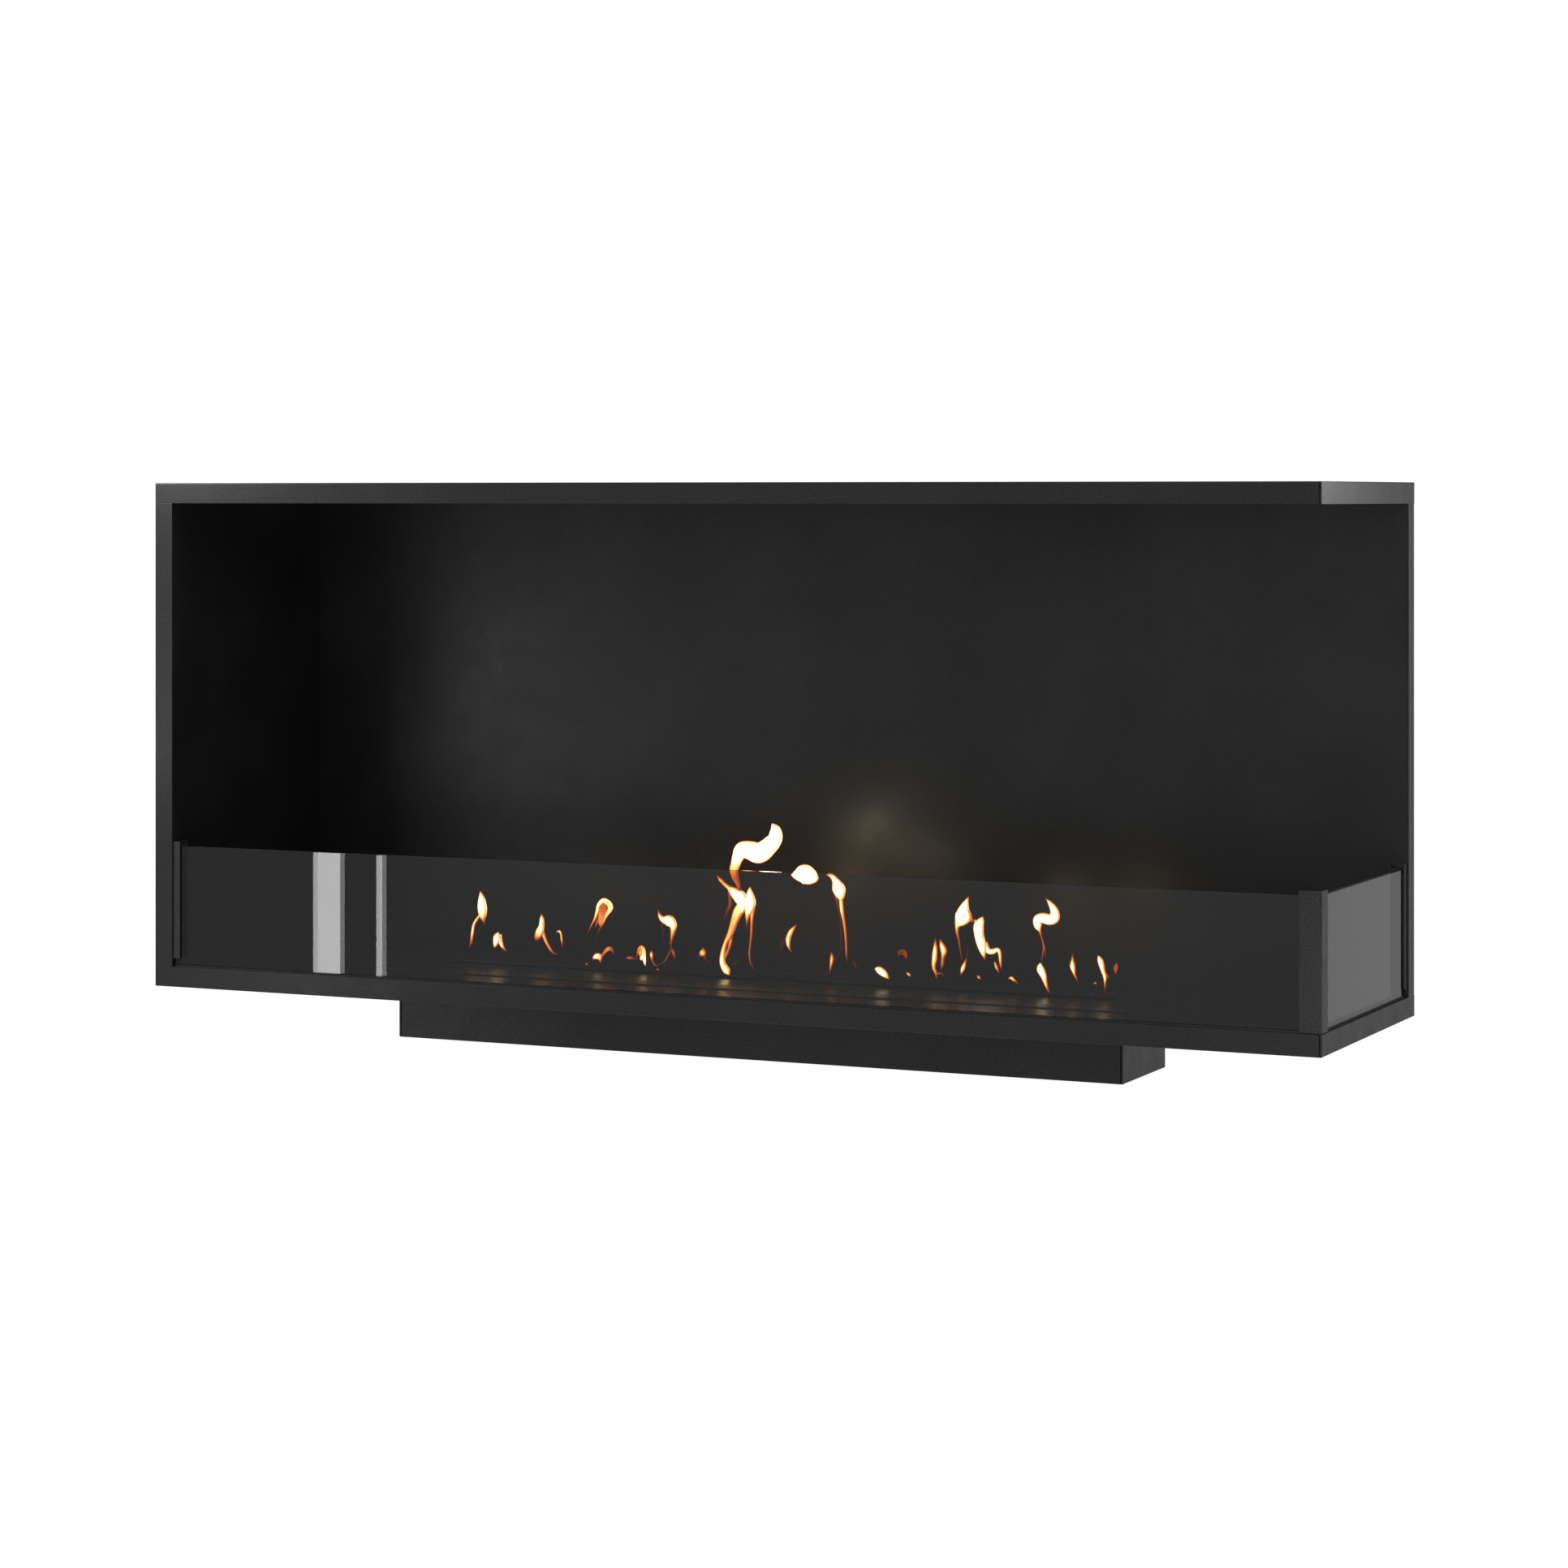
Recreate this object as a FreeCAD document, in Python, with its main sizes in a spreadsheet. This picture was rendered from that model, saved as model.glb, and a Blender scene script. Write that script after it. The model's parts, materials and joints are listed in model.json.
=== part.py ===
import FreeCAD, Part

import math
import os
import re

import Sketcher

# A built-in corner firebox for a bio-ethanol burner, open at the front and at the right-hand side.
# +X runs to the right, +Y to the back, +Z up. The origin lies under the middle of the firebox, on
# the plane of the burner tray's underside. Lengths are in millimetres.

DIMENSIONS = [
    ("box_width", 1200, "firebox, outside width"),
    ("box_depth", 300, "firebox, outside depth"),
    ("box_height", 500, "firebox, outside height"),
    ("wall", 20, "thickness of the double-skinned wall"),
    ("skin", 1.5, "sheet steel of both skins, channels, post, tray and burner lid"),
    ("fold_radius", 1, "outside radius of a fold in the sheet"),
    ("corner_seam", 0.9, "open seam where two folded edges meet and aren't welded"),
    ("seam_corner_radius", 3, "rounded corner of the lower front edge beside the seam"),
    ("rail_pitch", 400, "distance between the spacer rails in the back and top walls"),
    ("rail_width", 40, "spacer rail, width of its web"),
    ("rail_skin", 1.2, "spacer rail, sheet"),
    ("rail_end_gap", 1, "gap between a rail or board and the sheet that it runs to"),
    ("side_rail_pitch", 150, "distance between the two spacer rails in the left wall"),
    ("floor_rail_reach", 490, "floor spacer rails beside the tray, from the middle"),
    ("floor_rail_y", 104, "floor spacer rails in front of and behind the tray, from the middle"),
    ("floor_rail_width", 30, "floor spacer rail, width of its web"),
    ("board_thick", 12, "insulation board"),
    ("screw_pitch", 178, "casing screws along a wall's height"),
    ("screw_reach", 90, "casing screws in the top and bottom, from the middle of the depth"),
    ("screw_head_radius", 4, "casing screw, flush head"),
    ("screw_shank_radius", 1.9, "casing screw, shank"),
    ("screw_length", 9, "casing screw, shank below its head"),
    ("screw_clear", 0.1, "room around a screw's head or shank"),
    ("socket_depth", 0.9, "hexagonal socket in a flush head"),
    ("small_head_radius", 2.8, "channel and post screw, flush head"),
    ("small_shank_radius", 1.4, "channel and post screw, shank"),
    ("small_length", 6, "channel and post screw, shank below its head"),
    ("nut_pitch_x", 1000, "wall fixing nuts, side to side"),
    ("nut_pitch_z", 360, "wall fixing nuts, height"),
    ("nut_bore_radius", 3, "wall fixing nut, M6 thread drawn at its full width"),
    ("nut_barrel_radius", 4.5, "wall fixing nut, barrel"),
    ("nut_collar_radius", 6.5, "wall fixing nut, upset collar behind the sheet"),
    ("nut_length", 14, "wall fixing nut, length behind the sheet"),
    ("glass_thick", 5, "toughened glass"),
    ("glass_height", 118.1, "height of both panes"),
    ("glass_chamfer", 0.5, "arris ground on the edges of the glass"),
    ("glass_pad", 1.7, "silicone strip under the glass"),
    ("strip_gap", 0.5, "silicone strip, short of the post's foot"),
    ("front_glass_setback", 3.5, "front glass behind the front plane"),
    ("side_glass_setback", 3.5, "side glass inside the right-hand plane"),
    ("glass_end_gap", 0.5, "end of a pane to the web of its channel"),
    ("channel_lift", 8.3, "bottom of a glass channel above the floor"),
    ("channel_height", 115.9, "glass channel, length"),
    ("channel_depth", 15, "glass channel, across the glass"),
    ("channel_lip", 8, "glass channel, width of its flanges"),
    ("channel_setback", 1.7, "glass channel inside the front or right-hand plane"),
    ("gasket_gap", 0.3, "gasket to the glass"),
    ("post_width", 20.5, "corner post, front leg"),
    ("post_side", 18.5, "corner post, side leg"),
    ("post_height", 124.5, "top of the corner post above the floor"),
    ("post_gap", 0.9, "gap under the corner post's legs"),
    ("angle_gap", 1, "inner angle to the faces of the glass"),
    ("angle_leg", 12, "inner angle, leg"),
    ("tray_width", 757, "burner tray, outside width"),
    ("tray_depth", 118, "burner tray, outside depth"),
    ("tray_drop", 48, "burner tray below the underside of the firebox"),
    ("tray_x", 9.5, "middle of the burner tray, to the right"),
    ("tray_y", -7, "middle of the burner tray, to the back"),
    ("tray_flange", 21.5, "flange of the burner tray on the firebox floor"),
    ("tray_clear", 1.5, "cut-out around the burner tray"),
    ("lid_gap", 1, "burner lid to the tray"),
    ("slot_length", 700, "flame slot, length"),
    ("slot_width", 32, "flame slot, width"),
    ("slot_y", -10, "middle of the flame slot, to the back"),
    ("tank_width", 740, "fuel tank, outside length"),
    ("tank_depth", 108, "fuel tank, outside width"),
    ("tank_skin", 1.2, "fuel tank, stainless sheet"),
    ("tank_radius", 6, "fuel tank, radius of its pressed edges"),
    ("foot_height", 2.5, "foot under the fuel tank"),
    ("foot_radius", 8, "foot under the fuel tank, radius"),
    ("foot_reach", 320, "feet from the middle of the tank, lengthways"),
    ("foot_side", 36, "feet from the middle of the tank, across"),
    ("fibre_height", 40, "ceramic fibre that holds the fuel"),
    ("fibre_gap", 0.5, "ceramic fibre to the tank's walls"),
    ("grid_thick", 1, "perforated sheet over the ceramic fibre"),
    ("grid_hole_radius", 3, "perforation, radius"),
    ("grid_pitch", 14, "perforations along the slot"),
    ("grid_rows_pitch", 11, "perforations across the slot"),
    ("damper_width", 722, "sliding damper, length"),
    ("damper_depth", 41, "sliding damper, width"),
    ("damper_drop", 3.5, "upper face of the damper below the upper face of the burner lid"),
    ("damper_overlap", 3, "damper in front of its pull tab"),
    ("tab_gap", 0.3, "pull tab to the edge of the slot, damper open"),
    ("tab_width", 40, "pull tab, width"),
    ("tab_height", 8, "pull tab above the damper"),
    ("tab_hole_radius", 2, "hole for the hook in the pull tab"),
    ("guide_width", 14, "damper guide, ledge under the damper's end"),
    ("guide_gap", 0.3, "damper to its guides and bridges"),
    ("bridge_reach", 120, "bridges under the damper, from the middle"),
    ("bridge_width", 6, "bridge under the damper, width"),
    ("bracket_leg", 24, "tray bracket, leg on the bottom sheet"),
    ("bracket_width", 30, "tray bracket, width"),
    ("bracket_reach", 28, "tray brackets from the middle of the tray, across"),
    ("bracket_height", 14, "tray bracket, leg on the tray"),
    ("pan_head_radius", 3.6, "tray screw, pan head"),
    ("pan_head_height", 2.2, "tray screw, height of its head"),
    ("pan_crown_radius", 2.2, "tray screw, flat top of its head"),
]

ALIASES = {alias for alias, value, note in DIMENSIONS}

doc = FreeCAD.newDocument("corner_firebox")
dims = doc.addObject("Spreadsheet::Sheet", "dims")
for row, (alias, value, note) in enumerate(DIMENSIONS, start=1):
    dims.set(f"A{row}", note)
    dims.set(f"B{row}", str(value))
    dims.setAlias(f"B{row}", alias)
doc.recompute()


# Planes of the object, as expressions in the sheet's aliases.

LEFT = "(-box_width / 2)"
RIGHT = "(box_width / 2)"
FRONT = "(-box_depth / 2)"
BACK = "(box_depth / 2)"
BASE = "tray_drop"
TOP = "(tray_drop + box_height)"
FLOOR = "(tray_drop + wall)"
CEILING = "(tray_drop + box_height - wall)"
BASE_IN = "(tray_drop + skin)"
TOP_IN = "(tray_drop + box_height - skin)"
LEFT_IN = "(-box_width / 2 + skin)"
RIGHT_IN = "(box_width / 2 - skin)"
FRONT_IN = "(-box_depth / 2 + skin)"
BACK_IN = "(box_depth / 2 - skin)"
ROOM_LEFT = "(-box_width / 2 + wall)"
ROOM_BACK = "(box_depth / 2 - wall)"
FLOOR_UNDER = "(tray_drop + wall - skin)"
CEILING_OVER = "(tray_drop + box_height - wall + skin)"
LINER_LEFT = "(-box_width / 2 + wall - skin)"
LINER_BACK = "(box_depth / 2 - wall + skin)"
MID_HEIGHT = "(tray_drop + box_height / 2)"

GLASS_LOW = "(tray_drop + wall + glass_pad)"
GLASS_TOP = "(tray_drop + wall + glass_pad + glass_height)"
FRONT_GLASS = "(-box_depth / 2 + front_glass_setback)"
FRONT_GLASS_IN = "(-box_depth / 2 + front_glass_setback + glass_thick)"
SIDE_GLASS = "(box_width / 2 - side_glass_setback)"
SIDE_GLASS_IN = "(box_width / 2 - side_glass_setback - glass_thick)"
CHANNEL_LOW = "(tray_drop + wall + channel_lift)"

TRAY_LEFT = "(tray_x - tray_width / 2)"
TRAY_RIGHT = "(tray_x + tray_width / 2)"
TRAY_FRONT = "(tray_y - tray_depth / 2)"
TRAY_BACK = "(tray_y + tray_depth / 2)"
LID_TOP = "(tray_drop + wall + skin)"
TANK_LEFT = "(tray_x - tank_width / 2)"
TANK_RIGHT = "(tray_x + tank_width / 2)"
TANK_FRONT = "(tray_y - tank_depth / 2)"
TANK_BACK = "(tray_y + tank_depth / 2)"
TANK_LOW = "(skin + foot_height)"
GRID_LOW = f"({TANK_LOW} + tank_skin + fibre_height)"
SLOT_FRONT = "(slot_y - slot_width / 2)"
SLOT_BACK = "(slot_y + slot_width / 2)"
DAMPER_TOP = f"({LID_TOP} - damper_drop)"
DAMPER_LOW = f"({LID_TOP} - damper_drop - skin)"
LEDGE_TOP = f"({DAMPER_LOW} - guide_gap)"
TAB_BACK = f"({SLOT_BACK} - tab_gap)"


# Helpers: each makes document objects whose sizes are bound to the sheet.

def formula(text):
    """The expression as the document spells it, with dims. before each alias."""
    return re.sub(r"[a-z][a-z_]*", lambda word: f"dims.{word[0]}" if word[0] in ALIASES else word[0], text)


def bind(item, **expressions):
    """Bind properties of an object to expressions; x, y and z are its place."""
    for name, text in expressions.items():
        path = f"Placement.Base.{name}" if name in ("x", "y", "z") else name
        item.setExpression(path, formula(text))
    return item


def slab(name, across, along, up):
    """A box between low and high expressions on X, Y and Z."""
    box = doc.addObject("Part::Box", name)
    bind(box, x=across[0], y=along[0], z=up[0])
    for side, (low, high) in (("Length", across), ("Width", along), ("Height", up)):
        bind(box, **{side: f"({high}) - ({low})"})
    return box


def rod(name, direction, place, radius, height):
    """A cylinder from a place along a direction."""
    cylinder = doc.addObject("Part::Cylinder", name)
    turn = FreeCAD.Rotation(FreeCAD.Vector(0, 0, 1), FreeCAD.Vector(*direction))
    cylinder.Placement = FreeCAD.Placement(FreeCAD.Vector(), turn)
    bind(cylinder, x=place[0], y=place[1], z=place[2], Radius=radius, Height=height)
    return cylinder


def fuse(name, pieces):
    """One solid out of pieces that touch."""
    union = doc.addObject("Part::MultiFuse", name)
    union.Shapes = pieces
    union.Refine = True
    return union


def group(name, pieces):
    """Separate solids in one node."""
    compound = doc.addObject("Part::Compound", name)
    compound.Links = pieces
    return compound


def cut(name, base, tools):
    """The base less all the tools."""
    result = doc.addObject("Part::Cut", name)
    result.Base = base
    result.Tool = tools[0] if len(tools) == 1 else group(f"{name}_tools", tools)
    return result


def matching_edges(shape, test):
    """The numbers of the shape's edges that pass a test on their box."""
    return [number for number, edge in enumerate(shape.Edges, start=1) if test(edge.BoundBox)]


def near(value, place):
    """Whether a coordinate is at a number, within a hundredth of a millimetre."""
    return abs(value - place) < 0.01


def lies_at(box, x=None, y=None, z=None):
    """Whether an edge's box is thin and at each stated coordinate."""
    spans = ((box.XMin, box.XMax, x), (box.YMin, box.YMax, y), (box.ZMin, box.ZMax, z))
    return all(place is None or (near(low, place) and near(high, place)) for low, high, place in spans)


def round_edges(name, base, radius, places):
    """Round the edges that lie at any of the places, each a dict of coordinates."""
    doc.recompute()
    numbers = matching_edges(base.Shape, lambda box: any(lies_at(box, **place) for place in places))
    if not numbers:
        raise SystemExit(f"{name} has no such edge to round")
    fillet = doc.addObject("Part::Fillet", name)
    fillet.Base = base
    fillet.Edges = [(number, radius, radius) for number in numbers]
    return fillet


def new_body(name):
    """An empty PartDesign body."""
    return doc.addObject("PartDesign::Body", name)


def new_sketch(body, name, role, offset="0"):
    """A sketch on one of the body's origin planes, moved along the plane's normal."""
    sketch = body.newObject("Sketcher::SketchObject", name)
    plane = next(feature for feature in body.Origin.OriginFeatures if feature.Role == role)
    sketch.AttachmentSupport = (plane, [""])
    sketch.MapMode = "FlatFace"
    sketch.setExpression("AttachmentOffset.Base.z", formula(offset))
    return sketch


def fix(sketch, kind, place, text):
    """Hold a point, given as its line, its end and a first guess, at a distance from the origin."""
    number = sketch.addConstraint(Sketcher.Constraint(kind, -1, 1, *place))
    sketch.setExpression(f"Constraints[{number}]", formula(text))


def polygon(sketch, corners):
    """A closed outline through corners given as pairs of expressions."""
    count = len(corners)
    first = sketch.GeometryCount
    turns = [2 * math.pi * index / count for index in range(count)]
    ring = [FreeCAD.Vector(math.cos(turn), math.sin(turn), 0) for turn in turns]
    for index in range(count):
        sketch.addGeometry(Part.LineSegment(ring[index], ring[(index + 1) % count]), False)
    for index in range(count):
        following = first + (index + 1) % count
        sketch.addConstraint(Sketcher.Constraint("Coincident", first + index, 2, following, 1))
    for index, (across, up) in enumerate(corners):
        fix(sketch, "DistanceX", (first + index, 1, ring[index].x), across)
        fix(sketch, "DistanceY", (first + index, 1, ring[index].y), up)


def rectangle(sketch, across, up):
    """A rectangle between low and high expressions."""
    polygon(sketch, [(across[0], up[0]), (across[1], up[0]), (across[1], up[1]), (across[0], up[1])])


def circle(sketch, centre, radius):
    """A circle at a place given as two expressions."""
    number = sketch.addGeometry(Part.Circle(FreeCAD.Vector(0, 0, 0), FreeCAD.Vector(0, 0, 1), 1), False)
    fix(sketch, "DistanceX", (number, 3, 0), centre[0])
    fix(sketch, "DistanceY", (number, 3, 0), centre[1])
    width = sketch.addConstraint(Sketcher.Constraint("Radius", number, 1))
    sketch.setExpression(f"Constraints[{width}]", formula(radius))


def pad(body, sketch, length):
    """Grow a sketch along its normal."""
    feature = body.newObject("PartDesign::Pad", f"{sketch.Name}_pad")
    feature.Profile = sketch
    feature.setExpression("Length", formula(length))
    return feature


def pocket(body, sketch, length, backwards=False):
    """Cut a sketch into the body, against its normal unless backwards."""
    doc.recompute()
    before = body.Shape.Volume
    feature = body.newObject("PartDesign::Pocket", f"{sketch.Name}_pocket")
    feature.Profile = sketch
    feature.Reversed = backwards
    feature.setExpression("Length", formula(length))
    doc.recompute()
    if body.Shape.Volume >= before:
        raise SystemExit(f"{feature.Name} cuts nothing")
    return feature


def fillet_body(body, radius, places):
    """Round the body's edges that lie at any of the places."""
    doc.recompute()
    base = body.Tip
    numbers = matching_edges(base.Shape, lambda box: any(lies_at(box, **place) for place in places))
    if not numbers:
        raise SystemExit(f"{body.Name} has no such edge to round")
    feature = body.newObject("PartDesign::Fillet", f"{body.Name}_fillet")
    feature.Base = (base, [f"Edge{number}" for number in numbers])
    feature.setExpression("Radius", formula(radius))
    return feature


def size(alias):
    """A driving dimension, for places where an object can't be bound to the sheet."""
    return float(dims.get(alias))


# Places of the screws. A hole is a cylinder whose own axis points out of the sheet from the sheet's
# inner face, and the screw that sits in it takes its placement.

def head_holes(name, direction, places, radius="screw_head_radius"):
    """Clearance holes for flush heads, through one skin."""
    return [
        rod(f"{name}_head_{index}", direction, place, f"{radius} + screw_clear", "skin")
        for index, place in enumerate(places)
    ]


def shank_holes(name, direction, places, radius="screw_shank_radius", depth="wall / 2"):
    """Clearance holes for shanks, into whatever stands behind the skin."""
    back = tuple(-part for part in direction)
    return [
        rod(f"{name}_shank_{index}", back, place, f"{radius} + screw_clear", depth)
        for index, place in enumerate(places)
    ]


THIRDS = (-1, 0, 1)
PAIR = (-1, 1)

BACK_SCREWS = [
    (f"{column} * rail_pitch", BACK_IN, f"{MID_HEIGHT} + {level} * screw_pitch")
    for column in THIRDS for level in THIRDS
]
TOP_SCREWS = [
    (f"{column} * rail_pitch", f"{side} * screw_reach", TOP_IN)
    for column in THIRDS for side in PAIR
]
LEFT_SCREWS = [
    (LEFT_IN, f"{side} * side_rail_pitch / 2", f"{MID_HEIGHT} + {level} * screw_pitch")
    for side in PAIR for level in THIRDS
]
FLOOR_SCREWS = [
    (f"{column} * floor_rail_reach", f"{side} * screw_reach", BASE_IN) for column in PAIR for side in PAIR
] + [
    (f"{column} * rail_pitch / 2", f"{side} * floor_rail_y", BASE_IN) for column in PAIR for side in PAIR
]
BRACKET_FOOT_REACH = "(tray_width / 2 + tray_clear + bracket_leg / 2)"
BRACKET_SCREWS = [
    (f"tray_x + {end} * {BRACKET_FOOT_REACH}", f"tray_y + {side} * bracket_reach", BASE_IN)
    for end in PAIR for side in PAIR
]
NUT_PLACES = [
    (f"{side} * nut_pitch_x / 2", BACK_IN, f"{MID_HEIGHT} + {level} * nut_pitch_z / 2")
    for side in PAIR for level in PAIR
]

OUTWARD = {"back": (0, 1, 0), "top": (0, 0, 1), "left": (-1, 0, 0), "bottom": (0, 0, -1)}


# Outer skin

def tray_folds(level):
    """The folds of a top or bottom sheet whose flat face is at a level."""
    right, front = size("box_width") / 2, -size("box_depth") / 2
    return [
        {"y": front, "z": level}, {"x": right, "z": level},
        {"x": right, "y": front}, {"x": -right, "y": front},
    ]


def top_outer_panel():
    """The top sheet with its front and right edges folded down and an open seam between them."""
    sheet = slab("top_sheet", (LEFT, RIGHT), (FRONT, BACK), (TOP_IN, TOP))
    front_edge = slab("top_front_edge", (LEFT, RIGHT), (FRONT, FRONT_IN), (CEILING, TOP_IN))
    right_edge = slab("top_right_edge", (RIGHT_IN, RIGHT), (FRONT_IN, BACK), (CEILING, TOP_IN))
    corner = slab("top_corner_edge", (RIGHT_IN, RIGHT), (FRONT, FRONT_IN), (CEILING, TOP_IN))
    folded = fuse("top_folded", [sheet, front_edge, right_edge, corner])
    seam = slab("top_seam", (f"{RIGHT_IN} - corner_seam", RIGHT_IN), (FRONT, FRONT_IN), (CEILING, TOP))
    holes = head_holes("top", OUTWARD["top"], TOP_SCREWS)
    pierced = cut("top_pierced", folded, [seam] + holes)
    top = size("tray_drop") + size("box_height")
    return round_edges("top_outer_panel", pierced, size("fold_radius"), tray_folds(top))


def bottom_outer_panel():
    """The bottom sheet with its front and right edges folded up and a cut-out for the burner tray."""
    sheet = slab("bottom_sheet", (LEFT, RIGHT), (FRONT, BACK), (BASE, BASE_IN))
    front_edge = slab("bottom_front_edge", (LEFT, RIGHT), (FRONT, FRONT_IN), (BASE_IN, FLOOR))
    right_edge = slab("bottom_right_edge", (RIGHT_IN, RIGHT), (FRONT_IN, BACK), (BASE_IN, FLOOR))
    corner = slab("bottom_corner_edge", (RIGHT_IN, RIGHT), (FRONT, FRONT_IN), (BASE_IN, FLOOR))
    folded = fuse("bottom_folded", [sheet, front_edge, right_edge, corner])
    seam = slab("bottom_seam", (f"{RIGHT_IN} - corner_seam", RIGHT_IN), (FRONT, FRONT_IN), (BASE, FLOOR))
    opening = slab(
        "bottom_cut_out",
        (f"{TRAY_LEFT} - tray_clear", f"{TRAY_RIGHT} + tray_clear"),
        (f"{TRAY_FRONT} - tray_clear", f"{TRAY_BACK} + tray_clear"),
        (BASE, BASE_IN),
    )
    holes = head_holes("bottom", OUTWARD["bottom"], FLOOR_SCREWS + BRACKET_SCREWS)
    pierced = cut("bottom_pierced", folded, [seam, opening] + holes)
    rounded = round_edges("bottom_rounded", pierced, size("fold_radius"), tray_folds(size("tray_drop")))
    seam_end = {
        "x": size("box_width") / 2 - size("skin") - size("corner_seam"),
        "z": size("tray_drop") + size("wall"),
    }
    return round_edges("bottom_outer_panel", rounded, size("seam_corner_radius"), [seam_end])


def left_outer_panel():
    """The left sheet with its front edge folded in."""
    sheet = slab("left_sheet", (LEFT, LEFT_IN), (FRONT_IN, BACK), (BASE_IN, TOP_IN))
    corner = slab("left_corner_edge", (LEFT, LEFT_IN), (FRONT, FRONT_IN), (FLOOR, CEILING))
    front_edge = slab("left_front_edge", (LEFT_IN, ROOM_LEFT), (FRONT, FRONT_IN), (FLOOR, CEILING))
    folded = fuse("left_folded", [sheet, corner, front_edge])
    pierced = cut("left_pierced", folded, head_holes("left", OUTWARD["left"], LEFT_SCREWS))
    fold = {"x": -size("box_width") / 2, "y": -size("box_depth") / 2}
    return round_edges("left_outer_panel", pierced, size("fold_radius"), [fold])


def back_outer_panel():
    """The back sheet, folded forward at the right into the rear stile, with the wall fixing holes."""
    sheet = slab("back_sheet", (LEFT_IN, RIGHT_IN), (BACK_IN, BACK), (BASE_IN, TOP_IN))
    corner = slab("back_corner_edge", (RIGHT_IN, RIGHT), (BACK_IN, BACK), (FLOOR, CEILING))
    stile = slab("back_stile", (RIGHT_IN, RIGHT), (ROOM_BACK, BACK_IN), (FLOOR, CEILING))
    folded = fuse("back_folded", [sheet, corner, stile])
    holes = head_holes("back", OUTWARD["back"], BACK_SCREWS)
    nut_holes = head_holes("back_nut", OUTWARD["back"], NUT_PLACES, "nut_barrel_radius")
    pierced = cut("back_pierced", folded, holes + nut_holes)
    fold = {"x": size("box_width") / 2, "y": size("box_depth") / 2}
    return round_edges("back_outer_panel", pierced, size("fold_radius"), [fold])


# Inner skin

def ceiling_liner():
    """The sheet over the burning chamber."""
    return slab("ceiling_liner", (LEFT_IN, RIGHT_IN), (FRONT_IN, BACK_IN), (CEILING, CEILING_OVER))


def floor_liner():
    """The chamber's floor, with the cut-out that the burner tray drops into."""
    sheet = slab("floor_sheet", (LEFT_IN, RIGHT_IN), (FRONT_IN, BACK_IN), (FLOOR_UNDER, FLOOR))
    opening = slab(
        "floor_cut_out",
        (f"{TRAY_LEFT} - tray_clear", f"{TRAY_RIGHT} + tray_clear"),
        (f"{TRAY_FRONT} - tray_clear", f"{TRAY_BACK} + tray_clear"),
        (FLOOR_UNDER, FLOOR),
    )
    screws = shank_holes("floor_liner", OUTWARD["top"], POST_SCREWS, "small_shank_radius")
    return cut("floor_liner", sheet, [opening] + screws)


def left_liner():
    """The chamber's left wall."""
    sheet = slab("left_liner_sheet", (LINER_LEFT, ROOM_LEFT), (FRONT_IN, BACK_IN), (FLOOR, CEILING))
    screws = shank_holes("left_liner", (1, 0, 0), LEFT_CHANNEL_SCREWS, "small_shank_radius")
    return cut("left_liner", sheet, screws)


def back_liner():
    """The chamber's back wall."""
    sheet = slab("back_liner_sheet", (ROOM_LEFT, RIGHT_IN), (ROOM_BACK, LINER_BACK), (FLOOR, CEILING))
    screws = shank_holes("back_liner", (0, -1, 0), REAR_CHANNEL_SCREWS, "small_shank_radius")
    return cut("back_liner", sheet, screws)


# Between the skins

def spacer(name, web, hollow, screws):
    """A spacer rail: a box less the hollow that leaves a web and two legs, less its screw holes."""
    return cut(name, slab(f"{name}_block", *web), [slab(f"{name}_hollow", *hollow)] + screws)


def upright_back_rail(index, column):
    """A rail that stands in the back wall, its web against the outer skin."""
    low = f"{column} * rail_pitch - rail_width / 2"
    high = f"{column} * rail_pitch + rail_width / 2"
    height = (f"{FLOOR} + rail_end_gap", f"{CEILING} - rail_end_gap")
    name = f"back_rail_{index}"
    places = [place for place in BACK_SCREWS if place[0] == f"{column} * rail_pitch"]
    return spacer(
        name,
        ((low, high), (LINER_BACK, BACK_IN), height),
        ((f"{low} + rail_skin", f"{high} - rail_skin"), (LINER_BACK, f"{BACK_IN} - rail_skin"), height),
        shank_holes(name, OUTWARD["back"], places, depth="2 * rail_skin"),
    )


def top_rail(index, column):
    """A rail that lies in the top wall from front to back."""
    low = f"{column} * rail_pitch - rail_width / 2"
    high = f"{column} * rail_pitch + rail_width / 2"
    length = (f"{FRONT_IN} + rail_end_gap", f"{BACK_IN} - rail_end_gap")
    name = f"top_rail_{index}"
    places = [place for place in TOP_SCREWS if place[0] == f"{column} * rail_pitch"]
    return spacer(
        name,
        ((low, high), length, (CEILING_OVER, TOP_IN)),
        ((f"{low} + rail_skin", f"{high} - rail_skin"), length, (CEILING_OVER, f"{TOP_IN} - rail_skin")),
        shank_holes(name, OUTWARD["top"], places, depth="2 * rail_skin"),
    )


def upright_left_rail(index, side):
    """A rail that stands in the left wall."""
    low = f"{side} * side_rail_pitch / 2 - rail_width / 2"
    high = f"{side} * side_rail_pitch / 2 + rail_width / 2"
    height = (f"{FLOOR} + rail_end_gap", f"{CEILING} - rail_end_gap")
    name = f"left_rail_{index}"
    places = [place for place in LEFT_SCREWS if place[1] == f"{side} * side_rail_pitch / 2"]
    return spacer(
        name,
        ((LEFT_IN, LINER_LEFT), (low, high), height),
        ((f"{LEFT_IN} + rail_skin", LINER_LEFT), (f"{low} + rail_skin", f"{high} - rail_skin"), height),
        shank_holes(name, OUTWARD["left"], places, depth="2 * rail_skin"),
    )


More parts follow.
